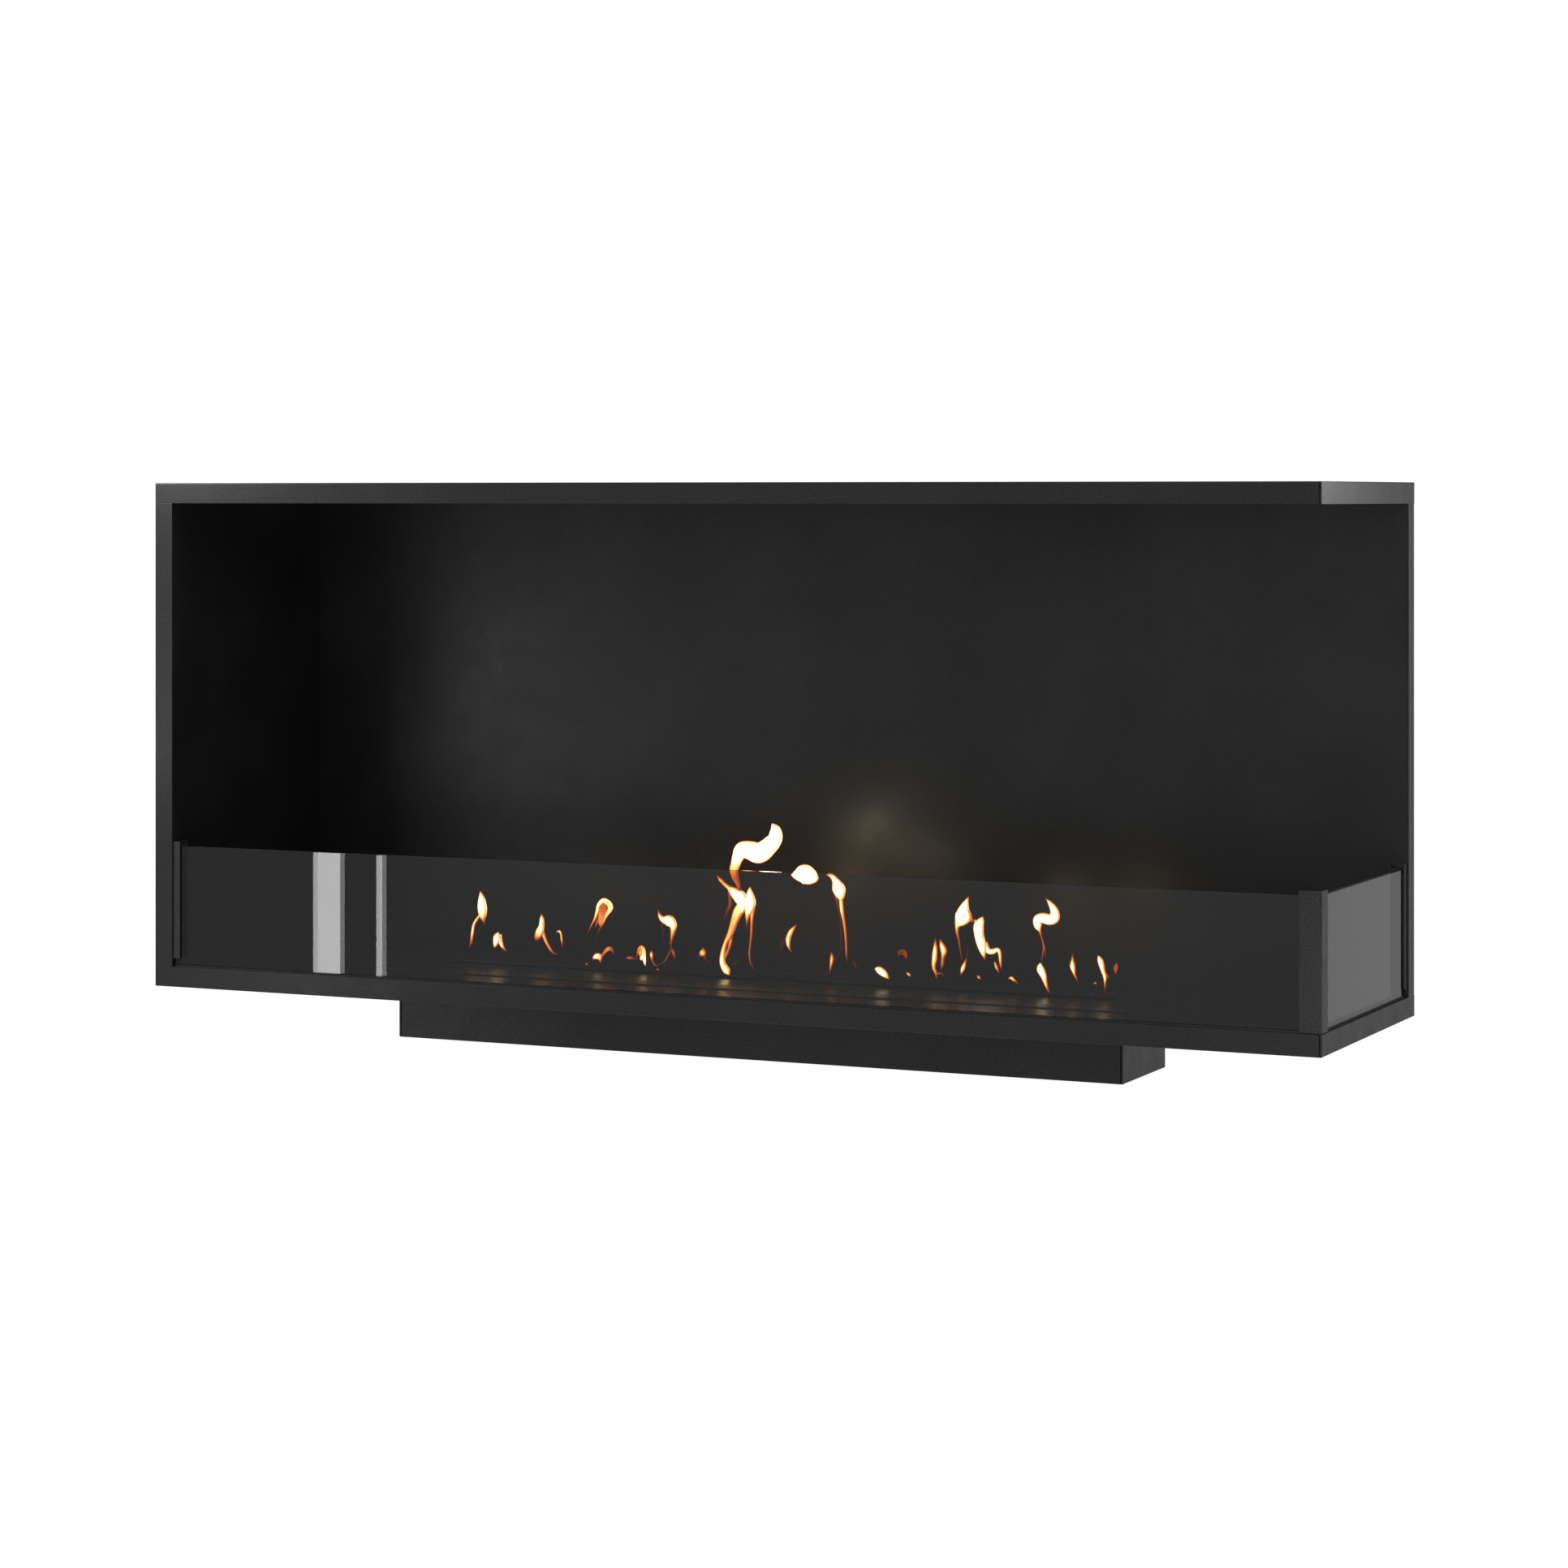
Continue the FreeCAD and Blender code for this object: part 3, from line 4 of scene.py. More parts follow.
import bmesh
import bpy
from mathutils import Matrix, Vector


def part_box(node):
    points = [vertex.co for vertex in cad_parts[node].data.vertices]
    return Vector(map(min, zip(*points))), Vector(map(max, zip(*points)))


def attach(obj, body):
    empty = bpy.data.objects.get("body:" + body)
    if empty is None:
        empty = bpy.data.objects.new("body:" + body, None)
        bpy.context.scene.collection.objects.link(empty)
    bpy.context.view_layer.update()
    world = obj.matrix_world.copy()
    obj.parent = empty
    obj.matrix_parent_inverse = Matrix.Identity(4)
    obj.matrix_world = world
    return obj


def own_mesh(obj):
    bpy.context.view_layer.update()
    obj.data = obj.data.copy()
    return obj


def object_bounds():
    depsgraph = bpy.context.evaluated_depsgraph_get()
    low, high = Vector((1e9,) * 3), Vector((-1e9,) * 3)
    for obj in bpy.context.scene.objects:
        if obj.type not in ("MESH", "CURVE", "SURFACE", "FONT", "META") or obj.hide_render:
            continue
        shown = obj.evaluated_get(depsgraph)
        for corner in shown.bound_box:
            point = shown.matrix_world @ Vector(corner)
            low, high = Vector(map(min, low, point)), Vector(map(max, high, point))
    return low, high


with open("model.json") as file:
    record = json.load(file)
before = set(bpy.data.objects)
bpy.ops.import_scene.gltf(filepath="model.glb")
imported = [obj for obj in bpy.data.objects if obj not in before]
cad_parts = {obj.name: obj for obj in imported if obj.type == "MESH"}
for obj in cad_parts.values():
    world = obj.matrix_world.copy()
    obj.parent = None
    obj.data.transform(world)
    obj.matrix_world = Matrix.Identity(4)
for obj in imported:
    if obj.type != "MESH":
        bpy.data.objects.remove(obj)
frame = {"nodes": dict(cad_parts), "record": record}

# A black powder-coated corner firebox with a bio-ethanol burner, on a pale floor in a white studio.
# All places are in metres in the CAD frame: +X right, +Y back, +Z up, the floor at zero.

CAD_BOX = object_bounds()
MM = 0.001
WHITE = (1.0, 1.0, 1.0, 1.0)


# Small tools for node trees

def empty_material(name):
    """A material whose node tree holds only its output."""
    material = bpy.data.materials.new(name)
    material.use_nodes = True
    tree = material.node_tree
    tree.nodes.clear()
    return material, tree, tree.nodes.new("ShaderNodeOutputMaterial")


def new_material(name):
    """A material with a Principled shader wired to its output."""
    material, tree, output = empty_material(name)
    shader = tree.nodes.new("ShaderNodeBsdfPrincipled")
    tree.links.new(shader.outputs["BSDF"], output.inputs["Surface"])
    return material, tree, shader


def add(tree, kind, inputs=None, **settings):
    """A node with its settings and its input values; an input that is a socket is linked."""
    node = tree.nodes.new(kind)
    for name, value in settings.items():
        setattr(node, name, value)
    for name, value in (inputs or {}).items():
        if isinstance(value, bpy.types.NodeSocket):
            tree.links.new(value, node.inputs[name])
        else:
            node.inputs[name].default_value = value
    return node


def place(tree, stretch=(1.0, 1.0, 1.0)):
    """Object coordinates in metres, stretched; they move with the body that the piece rides on."""
    coordinates = add(tree, "ShaderNodeTexCoord")
    mapping = add(tree, "ShaderNodeMapping", {"Vector": coordinates.outputs["Object"], "Scale": stretch})
    return mapping.outputs["Vector"]


def noise(tree, vector, scale, detail=2.0, roughness=0.5):
    """Noise from 0 to 1, so many cells to a metre."""
    texture = add(tree, "ShaderNodeTexNoise", {
        "Vector": vector, "Scale": scale, "Detail": detail, "Roughness": roughness,
    })
    return texture.outputs["Fac"]


def flakes(tree, vector, scale):
    """A random value from 0 to 1 for each Voronoi cell, so many cells to a metre."""
    texture = add(tree, "ShaderNodeTexVoronoi", {"Vector": vector, "Scale": scale})
    parts = add(tree, "ShaderNodeSeparateColor", {"Color": texture.outputs["Color"]})
    return parts.outputs["Red"]


def spread(tree, value, low, high, start=0.3, end=0.7):
    """A noise value taken from start..end to low..high."""
    span = add(tree, "ShaderNodeMapRange", {
        "Value": value, "From Min": start, "From Max": end, "To Min": low, "To Max": high,
    })
    return span.outputs["Result"]


def ramp(tree, value, stops):
    """A colour ramp through (place, colour) stops."""
    node = add(tree, "ShaderNodeValToRGB", {"Fac": value})
    elements = node.color_ramp.elements
    while len(elements) < len(stops):
        elements.new(0.5)
    for element, (position, colour) in zip(elements, stops):
        element.position = position
        element.color = (*colour, 1.0)
    return node.outputs["Color"]


def mix_values(tree, first, second, share):
    """Two values blended by a plain share."""
    node = add(tree, "ShaderNodeMix", {"Factor": share, "A": first, "B": second})
    return node.outputs["Result"]


def bump(tree, shader, height, depth, normal=None):
    """Relief on a shader, depth metres for a height of one, over the piece's own normal or a given one."""
    node = add(tree, "ShaderNodeBump", {"Height": height, "Distance": depth})
    if normal is not None:
        tree.links.new(normal, node.inputs["Normal"])
    tree.links.new(node.outputs["Normal"], shader.inputs["Normal"])


def scaled(colour, factor):
    """A colour made lighter or darker."""
    return tuple(part * factor for part in colour)


# Materials

EDGE_RADIUS = 0.0009      # of the folded and cut edges of the sheet, under the coat
PEEL_DEPTH = 0.0001       # of the roughest coat's orange peel
COAT_CLOUDS = 9           # soft clouds of tone to a metre
COAT_GRAIN = 620          # grains to a metre
COAT_SMEARS = 45          # changes of gloss to a metre


def powder_coat(name, colour, roughness, texture):
    """Matt black powder coat: orange peel, slight clouds of tone, uneven gloss, and fine grain specks
    painted into the colour as the glint and shade of light on the peel.
    """
    material, tree, shader = new_material(name)
    vector = place(tree)
    clouds = noise(tree, vector, scale=COAT_CLOUDS, detail=4)
    peel_grain_and_painted_glint = noise(tree, vector, scale=COAT_GRAIN, detail=2, roughness=0.6)
    # The fine grain mixed into the colour is painted glint and shade of light catching the orange peel; the
    # soft clouds are the coat's own random tone.
    tone = mix_values(tree, clouds, peel_grain_and_painted_glint, share=0.6 * texture)
    colours = ramp(tree, tone, [(0.3, scaled(colour, 0.65)), (0.5, colour), (0.7, scaled(colour, 1.4))])
    tree.links.new(colours, shader.inputs["Base Color"])
    glint = spread(tree, peel_grain_and_painted_glint, 0.5 - 0.2 * texture, 0.5 + 0.2 * texture)
    tree.links.new(glint, shader.inputs["Specular IOR Level"])
    smears = noise(tree, vector, scale=COAT_SMEARS, detail=3)
    tree.links.new(spread(tree, smears, roughness - 0.03, roughness + 0.04), shader.inputs["Roughness"])
    rounded = add(tree, "ShaderNodeBevel", {"Radius": EDGE_RADIUS}, samples=4)
    bump(tree, shader, peel_grain_and_painted_glint, texture * PEEL_DEPTH, rounded.outputs["Normal"])
    return material


BRUSHING = (4.0, 900.0, 900.0)        # scratches to a metre along and across the brushing


def brushed_steel(name, colour, roughness):
    """Brushed stainless sheet: fine scratches one way, in colour, gloss and relief."""
    material, tree, shader = new_material(name)
    scratches = noise(tree, place(tree, stretch=BRUSHING), scale=1.0, detail=5, roughness=0.65)
    clouds = noise(tree, place(tree), scale=14, detail=3)
    tone = mix_values(tree, scratches, clouds, share=0.4)
    colours = ramp(tree, tone, [(0.3, scaled(colour, 0.7)), (0.5, colour), (0.72, scaled(colour, 1.2))])
    tree.links.new(colours, shader.inputs["Base Color"])
    shader.inputs["Metallic"].default_value = 1.0
    tree.links.new(spread(tree, scratches, roughness - 0.06, roughness + 0.1), shader.inputs["Roughness"])
    bump(tree, shader, scratches, depth=0.00003)
    return material


def galvanised(name):
    """Hot-dip zinc with its spangle."""
    material, tree, shader = new_material(name)
    vector = place(tree)
    spangle = flakes(tree, vector, 110)
    tone = mix_values(tree, spangle, noise(tree, vector, scale=30, detail=3), share=0.4)
    colours = ramp(tree, tone, [
        (0.1, (0.34, 0.36, 0.38)),
        (0.5, (0.5, 0.52, 0.54)),
        (0.9, (0.66, 0.68, 0.7)),
    ])
    tree.links.new(colours, shader.inputs["Base Color"])
    shader.inputs["Metallic"].default_value = 0.9
    tree.links.new(spread(tree, spangle, 0.32, 0.52, start=0, end=1), shader.inputs["Roughness"])
    bump(tree, shader, noise(tree, vector, scale=260), depth=0.00004)
    return material


def fibre_board(name, colour, scale):
    """Pressed mineral fibre: a tangle of short fibres with soft pits."""
    material, tree, shader = new_material(name)
    along = noise(tree, place(tree, stretch=(1.0, 7.0, 2.0)), scale=scale, detail=6, roughness=0.7)
    across = noise(tree, place(tree, stretch=(7.0, 1.0, 3.0)), scale=scale, detail=6, roughness=0.7)
    tangle = mix_values(tree, along, across, share=0.5)
    colours = ramp(tree, tangle, [(0.35, scaled(colour, 0.6)), (0.5, colour), (0.65, scaled(colour, 1.15))])
    tree.links.new(colours, shader.inputs["Base Color"])
    shader.inputs["Roughness"].default_value = 0.95
    bump(tree, shader, tangle, depth=0.0008)
    return material


def silicone(name):
    """Black silicone rubber with a little dust."""
    material, tree, shader = new_material(name)
    vector = place(tree)
    dust = noise(tree, vector, scale=240, detail=5, roughness=0.7)
    colours = ramp(tree, dust, [
        (0.4, (0.022, 0.022, 0.023)),
        (0.6, (0.032, 0.032, 0.033)),
        (0.75, (0.06, 0.06, 0.06)),
    ])
    tree.links.new(colours, shader.inputs["Base Color"])
    tree.links.new(spread(tree, dust, 0.55, 0.75), shader.inputs["Roughness"])
    bump(tree, shader, noise(tree, vector, scale=900), depth=0.00005)
    return material


def screw_metal(name, colour, metallic):
    """Plated screw steel, a little scuffed."""
    material, tree, shader = new_material(name)
    vector = place(tree)
    scuffs = noise(tree, vector, scale=500, detail=5, roughness=0.7)
    colours = ramp(tree, scuffs, [(0.3, scaled(colour, 0.6)), (0.5, colour), (0.7, scaled(colour, 1.3))])
    tree.links.new(colours, shader.inputs["Base Color"])
    shader.inputs["Metallic"].default_value = metallic
    tree.links.new(spread(tree, scuffs, 0.28, 0.5), shader.inputs["Roughness"])
    bump(tree, shader, scuffs, depth=0.00004)
    return material


GLASS_TINT = (0.64, 0.645, 0.645)     # what one face of a pane lets through
GLASS_MIRROR = 0.04                   # what one face mirrors, seen square on


def tinted_glass(name):
    """Grey-tinted glass that mirrors the room at both faces, more so at a slant, and bends nothing."""
    material, tree, output = empty_material(name)
    smears = noise(tree, place(tree), scale=16, detail=5, roughness=0.6)
    tint = ramp(tree, smears, [(0.3, scaled(GLASS_TINT, 0.985)), (0.7, scaled(GLASS_TINT, 1.015))])
    clear = add(tree, "ShaderNodeBsdfTransparent", {"Color": tint})
    mirror = add(tree, "ShaderNodeBsdfGlossy", {"Roughness": 0.0, "Color": WHITE})
    slant = add(tree, "ShaderNodeLayerWeight", {"Blend": 0.5}).outputs["Facing"]
    steepness = add(tree, "ShaderNodeMath", {0: slant, 1: 5.0}, operation="POWER").outputs["Value"]
    share = spread(tree, steepness, GLASS_MIRROR, 1.0, start=0.0, end=1.0)
    face = add(tree, "ShaderNodeMixShader", {0: share})
    tree.links.new(clear.outputs["BSDF"], face.inputs[1])
    tree.links.new(mirror.outputs["BSDF"], face.inputs[2])
    tree.links.new(face.outputs["Shader"], output.inputs["Surface"])
    return material


FLAME_STRENGTH = 10.0
# The colour of burning gas against its heat, in shares of the strength: dark red, orange, yellow, white.
FLAME_COLOURS = [
    (0.0, (0.002, 0.0003, 0.0)),
    (0.3, (0.02, 0.003, 0.0006)),
    (0.47, (0.08, 0.012, 0.002)),
    (0.58, (0.16, 0.025, 0.005)),
    (0.69, (0.25, 0.075, 0.012)),
    (0.79, (0.34, 0.18, 0.038)),
    (0.87, (0.42, 0.3, 0.11)),
    (0.94, (0.5, 0.42, 0.23)),
    (1.0, (0.62, 0.56, 0.4)),
]
BLUE_COLOURS = [
    (0.0, (0.0, 0.0, 0.0)),
    (0.5, (0.001, 0.001, 0.006)),
    (1.0, (0.002, 0.002, 0.015)),
]


def burning(name, colours):
    """Burning gas: each point has a heat, which gives its glow, and a cover, which fades its edges."""
    material, tree, shader = new_material(name)
    heat = add(tree, "ShaderNodeAttribute", attribute_name="flame_heat").outputs["Fac"]
    cover = add(tree, "ShaderNodeAttribute", attribute_name="flame_cover").outputs["Fac"]
    wisps = noise(tree, place(tree, stretch=(1.0, 1.0, 0.3)), scale=260, detail=3)
    flicker = spread(tree, wisps, 0.94, 1.05)
    warmth = add(tree, "ShaderNodeMath", {0: heat, 1: flicker}, operation="MULTIPLY").outputs["Value"]
    tree.links.new(ramp(tree, warmth, colours), shader.inputs["Emission Color"])
    shader.inputs["Emission Strength"].default_value = FLAME_STRENGTH
    tree.links.new(cover, shader.inputs["Alpha"])
    shader.inputs["Base Color"].default_value = (0.0, 0.0, 0.0, 1.0)
    shader.inputs["Roughness"].default_value = 1.0
    shader.inputs["Specular IOR Level"].default_value = 0.0
    return material


COAT = (0.0115, 0.0115, 0.012)
FINISHES = {
    "outer_powder_coat": powder_coat("outer_powder_coat", COAT, 0.42, texture=0.7),
    "inner_powder_coat": powder_coat("inner_powder_coat", COAT, 0.34, texture=0.2),
    "trim_powder_coat": powder_coat("trim_powder_coat", scaled(COAT, 1.6), 0.42, texture=0.9),
    "burner_black": powder_coat("burner_black", COAT, 0.3, texture=0.2),
    "galvanised_steel": galvanised("galvanised_steel"),
    "stainless_steel": brushed_steel("stainless_steel", (0.55, 0.54, 0.52), 0.3),
    "insulation_board": fibre_board("insulation_board", (0.62, 0.55, 0.42), 90),
    "ceramic_fibre": fibre_board("ceramic_fibre", (0.82, 0.81, 0.78), 140),
    "black_silicone": silicone("black_silicone"),
    "clear_glass": tinted_glass("tinted_glass"),
    "blackened_screws": screw_metal("blackened_screws", (0.035, 0.035, 0.037), 0.3),
    "zinc_screws": screw_metal("zinc_screws", (0.5, 0.5, 0.5), 0.95),
}


def finish_frame():
    """Every CAD node takes the finish of its slot in the record."""
    for part in frame["record"]["subparts"]:
        node = frame["nodes"][part["node"]]
        node.data.materials.clear()
        node.data.materials.append(FINISHES[part["material_slot"]])


# Flames: each is a few strokes drawn in the plane of the slot, and a stroke is a closed body with a
# lens-shaped section whose width and heat change along it.

BURNER_LOW, BURNER_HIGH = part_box("burner_lid")
SLOT_MIDDLE = (BURNER_LOW.x + BURNER_HIGH.x) / 2
LID_TOP = BURNER_HIGH.z
SOLID = "solid"
HOLLOW = "hollow"

# Each flame: its name, its foot's place along the slot from the slot's middle, and its strokes. Each
# stroke: its place across the slot, its make, and points of (along from the foot, height over the lid,
# width, heat). Lengths are in millimetres.
FLAMES = [
    ("candle", -333, [
        (-8, SOLID, [(15, 73, 0.5, 0.9), (16, 65, 6.5, 1), (16, 56, 9.5, 1), (16, 48, 8, 0.9),
            (17, 42, 3.5, 0.6), (18, 36, 0.5, 0.3)]),
        (-5, SOLID, [(15, 51, 3.5, 0.9), (9, 45, 3, 0.95), (4, 38, 3, 0.98), (2, 28, 3, 1),
            (1, 20, 2.5, 0.75), (-2, 12, 0.5, 0.3)]),
    ]),
    ("drop", -286, [
        (-14, SOLID, [(-9, 33, 1, 0.9), (-11, 28, 7, 1), (-13, 21, 5, 1), (-14, 17, 2, 0.8)]),
        (-11, SOLID, [(-10, 30, 5, 1), (-9, 23, 4.5, 1), (-6, 17, 3, 0.9), (0, 12, 0.5, 0.3)]),
    ]),
    ("quill", -236, [
        (-6, SOLID, [(-16, 52, 1, 0.8), (-15, 47, 4.5, 1), (-15, 40, 6, 0.95), (-17, 34, 8, 0.85),
            (-20, 28, 6, 0.6), (-22, 25, 1, 0.3)]),
        (-3, SOLID, [(-16, 36, 4, 0.9), (-13, 28, 3.5, 0.85), (-10, 22, 3, 0.9), (-6, 16, 2.5, 0.8),
            (-2, 13, 1.5, 0.7), (1, 13, 1, 0.8)]),
    ]),
    ("crook", -225, [
        (-10, SOLID, [(-8, 35, 1.5, 1), (-5, 36, 2.5, 1.1), (-3, 33, 2, 1.1), (-2, 27, 2, 1),
            (0, 18, 0.5, 0.3)]),
    ]),
    ("bell", -191, [
        (-12, HOLLOW, [(-8, 32, 0.5, 0.4), (-3, 42, 1.5, 0.66), (2.5, 51, 2.4, 0.86),
            (5.4, 58.5, 3, 0.98), (7.6, 64.5, 3.6, 1.03), (13, 69.3, 4.4, 1.05), (18.7, 66.7, 5, 1.05),
            (20.6, 62.2, 4.8, 1.04), (18, 58, 3.8, 0.98), (14.4, 53, 2.8, 0.88), (10.8, 46.5, 2, 0.78),
            (6.4, 39.5, 1.2, 0.56), (3.3, 30, 0.8, 0.42), (2, 15, 0.4, 0.25)]),
        (-9, SOLID, [(7, 42, 2, 0.5), (7.7, 47, 7, 0.68), (9, 53, 8.5, 0.68), (11, 59, 11, 0.62),
            (12, 64, 11.5, 0.6), (12.5, 68, 5, 0.7)]),
        (-6, SOLID, [(4, 52, 2, 0.7), (1.1, 46, 2.4, 0.75), (-1.6, 39, 0.5, 0.45)]),
    ]),
    ("curl", -182, [
        (-14, SOLID, [(-8, 10, 1, 0.6), (-6, 13, 4.5, 0.95), (-2, 14, 6.5, 0.95), (0, 11, 3.5, 0.8),
            (0, 6, 0.5, 0.4)]),
        (-11, HOLLOW, [(-1, 12, 1.2, 0.62), (3, 17.5, 3, 0.7), (8, 21.8, 4, 0.76), (11.8, 20.3, 3, 0.55),
            (13.8, 15.5, 1.5, 0.25)]),
    ]),
    ("cowl", -137, [
        (-6, HOLLOW, [(-13.5, 6.5, 0.4, 0.3), (-9.5, 12.5, 1, 0.45), (-7.6, 18.5, 2, 0.64),
            (-5.8, 22.8, 3, 0.78), (-3, 24.4, 3.4, 0.86), (-1, 21, 3.8, 0.94), (-0.8, 15.5, 4, 1.05),
            (0, 10, 2.8, 1.05), (0.8, 6.2, 1.2, 0.75), (2.7, 6.7, 0.6, 0.5)]),
        (-3, SOLID, [(-6.5, 10, 0.5, 0.7), (-4.5, 13.5, 4.4, 1.05), (-2.2, 17, 2, 0.95)]),
        (0, SOLID, [(-7, 23, 3, 0.72), (-7.2, 19, 5.5, 0.74), (-7, 15, 3.5, 0.74), (-7, 13, 1, 0.6)]),
    ]),
    ("link", -124, [
        (-10, SOLID, [(-4, 22, 1, 0.8), (-4, 18, 3.5, 0.95), (-3, 13, 2, 0.8), (0, 8, 1.5, 0.8),
            (5, 9, 1, 0.6), (10, 12, 1.5, 0.6), (14, 18, 2, 0.6), (17, 26, 2, 0.5), (13, 32, 0.5, 0.4)]),
    ]),
    ("swan", -103, [
        (-8, SOLID, [(-17, 63, 0.5, 0.7), (-16, 57, 3.5, 0.9), (-12, 53, 6.5, 0.95),
            (-6, 52, 10.5, 0.95), (-2, 48, 8.5, 0.95), (-2, 43, 5.5, 0.85), (-4, 34, 3, 0.7),
            (-5, 27, 2, 0.6), (-2, 20, 3, 0.65), (0, 13, 0.5, 0.3)]),
        (-5, SOLID, [(-16, 53, 2, 0.6), (-15, 43, 1.5, 0.4), (-14, 32, 1, 0.3), (-14, 25, 0.5, 0.2)]),
    ]),
    ("ember", -60, [
        (-12, SOLID, [(-10, 28, 1.5, 0.6), (-11, 23, 6.5, 0.8), (-13, 21, 4.5, 0.6), (-15, 18, 0.5, 0.3)]),
        (-9, SOLID, [(-11, 22, 2.5, 0.6), (-9, 16, 1.5, 0.5), (-5, 13, 1, 0.4), (-1, 12, 0.5, 0.2)]),
    ]),
    ("dancer", -44, [
        (-8, SOLID, [(43, 150, 1.5, 0.9), (47, 144, 10.5, 1), (48, 136, 14, 1), (42, 128, 16, 1),
            (33, 122, 18.5, 1), (23, 124, 16.5, 1), (15, 124, 14.5, 1), (11, 118, 11, 1),
            (8, 110, 9, 0.85), (6, 104, 8.5, 0.7), (7, 97, 7, 0.6), (9, 91, 5, 0.6), (10, 84, 3, 0.6)]),
        (-5, SOLID, [(-14, 98, 1, 0.7), (-11, 94, 3.5, 0.8), (-6, 89, 4, 0.8), (-2, 86, 5, 0.85),
            (3, 82, 9.5, 0.95), (9, 77, 12.5, 1), (11, 70, 10.5, 1), (6, 63, 9.5, 0.85),
            (2, 53, 7.5, 0.75), (-1, 43, 6.5, 0.75), (-6, 33, 4.5, 0.8), (-9, 22, 5, 0.88),
            (-9, 13, 6, 0.92), (-5, 6, 7, 0.92), (-2, 2, 2, 0.8)]),
        (-2, SOLID, [(-2, 46, 2, 0.6), (-2, 36, 3.5, 0.75), (-4, 27, 3, 0.75), (-7, 20, 3, 0.7),
            (-8, 13, 0.5, 0.5)]),
        (1, SOLID, [(-6, 83, 2.5, 0.6), (-5, 70, 4, 0.5), (-9, 61, 3.5, 0.35), (-13, 52, 1.5, 0.2),
            (-13, 43, 0.5, 0.1)]),
        (4, SOLID, [(-5, 9, 1, 0.5), (1, 13, 1.5, 0.4), (6, 17, 1, 0.3), (10, 25, 0.5, 0.2),
            (10, 36, 0.5, 0.15)]),
    ]),
    ("blade", -16, [
        (-4, SOLID, [(-7, 89, 0.5, 0.9), (-7, 83, 6, 1), (-7, 74, 11, 1), (-9, 66, 8.5, 0.95),
            (-11, 59, 4.5, 0.8), (-13, 46, 0.5, 0.4)]),
        (-1, SOLID, [(-6, 69, 5, 0.9), (-8, 56, 3, 0.85), (-9, 45, 2.5, 0.8), (-10, 34, 2, 0.8),
            (-11, 23, 2, 0.8), (-9, 13, 1.5, 0.7), (-2, 5, 0.5, 0.3)]),
    ]),
    ("sickle", 26, [
        (-12, SOLID, [(4, 55, 0.5, 0.8), (-1, 50, 4, 0.9), (-5, 43, 5, 0.9), (-6, 36, 4, 0.95),
            (-4, 30, 2, 0.7), (0, 26, 0.5, 0.3)]),
        (-9, SOLID, [(-8, 43, 3, 0.4), (-14, 35, 2.5, 0.3), (-18, 27, 0.5, 0.1)]),
    ]),
    ("cloud", 47, [
        (-10, SOLID, [(-26, 102, 1, 0.9), (-20, 102, 9.5, 1), (-12, 103, 17.5, 1), (-5, 101, 15, 1),
            (0, 100, 9.5, 1), (3, 100, 2.5, 0.9)]),
    ]),
    ("torch", 67, [
        (-8, SOLID, [(-8, 104, 1, 0.8), (-2, 103, 4.5, 0.9), (2, 99, 6.5, 1), (5, 92, 12, 1),
            (6, 87, 11, 1), (7, 81, 5.5, 0.9)]),
        (-5, SOLID, [(0, 87, 3.5, 0.8), (1, 77, 2, 0.6), (3, 64, 1.5, 0.5), (4, 47, 1.5, 0.45),
            (4, 34, 1, 0.4), (1, 23, 1, 0.35), (-2, 18, 0.5, 0.3)]),
        (-2, SOLID, [(4, 83, 4.5, 0.9), (4, 70, 4, 0.9), (6, 57, 3, 0.85), (8, 42, 2.5, 0.8),
            (9, 29, 2, 0.8), (10, 18, 0.5, 0.5)]),
    ]),
    ("spark_tall", 64, [
        (-14, SOLID, [(1, 31, 0.5, 0.7), (2, 25, 3.5, 0.9), (1, 17, 2.5, 0.9), (0, 9, 0.5, 0.5)]),
    ]),
    ("leaf", 126, [
        (-14, SOLID, [(-15, 17, 1.5, 0.9), (-11, 16, 6.5, 1), (-5, 12, 6, 1), (0, 7, 0.5, 0.8)]),
    ]),
    ("wisp_small", 93, [
        (-12, SOLID, [(-6, 26, 0.5, 0.3), (-3, 19, 2, 0.4), (0, 15, 0.5, 0.3)]),
    ]),
    ("ghost", 140, [
        (-8, HOLLOW, [(-8, 28, 0.5, 0.3), (-7, 32, 4, 0.4), (-3, 33, 5.5, 0.45), (0, 30, 3.5, 0.5),
            (0, 25, 0.5, 0.3)]),
    ]),
    ("seed_a", 148, [
        (-14, SOLID, [(-5, 15, 1, 0.8), (-2, 13, 3, 0.95), (0, 11, 0.5, 0.7)]),
    ]),
    ("twin", 173, [
        (-10, SOLID, [(-1, 49, 0.5, 0.7), (-1, 40, 4, 0.9), (-2, 30, 5, 0.95), (-3, 21, 3.5, 0.9),
            (-1, 15, 2.5, 0.8), (0, 8, 0.5, 0.5)]),
        (-6, SOLID, [(2, 48, 0.5, 0.7), (4, 42, 4.5, 0.9), (6, 36, 6, 0.85), (5, 30, 4, 0.7),
            (4, 23, 3, 0.7), (3, 17, 0.5, 0.5)]),
        (-4, SOLID, [(-5, 17, 2, 0.7), (-1, 14, 2, 0.8), (2, 15, 1.5, 0.7), (5, 11, 0.5, 0.7)]),
    ]),
    ("crown", 199, [
        (-8, SOLID, [(6, 89, 0.5, 0.9), (3, 84, 4.5, 1), (0, 76, 10.5, 1), (-1, 70, 15, 1),
            (-4, 65, 11.5, 0.95), (-7, 60, 5, 0.85), (-7, 54, 3, 0.8), (-5, 47, 2, 0.75),
            (-3, 37, 1.5, 0.7), (0, 21, 0.5, 0.5)]),
        (-5, SOLID, [(1, 74, 7, 0.9), (5, 68, 4.5, 0.8), (9, 63, 1, 0.5)]),
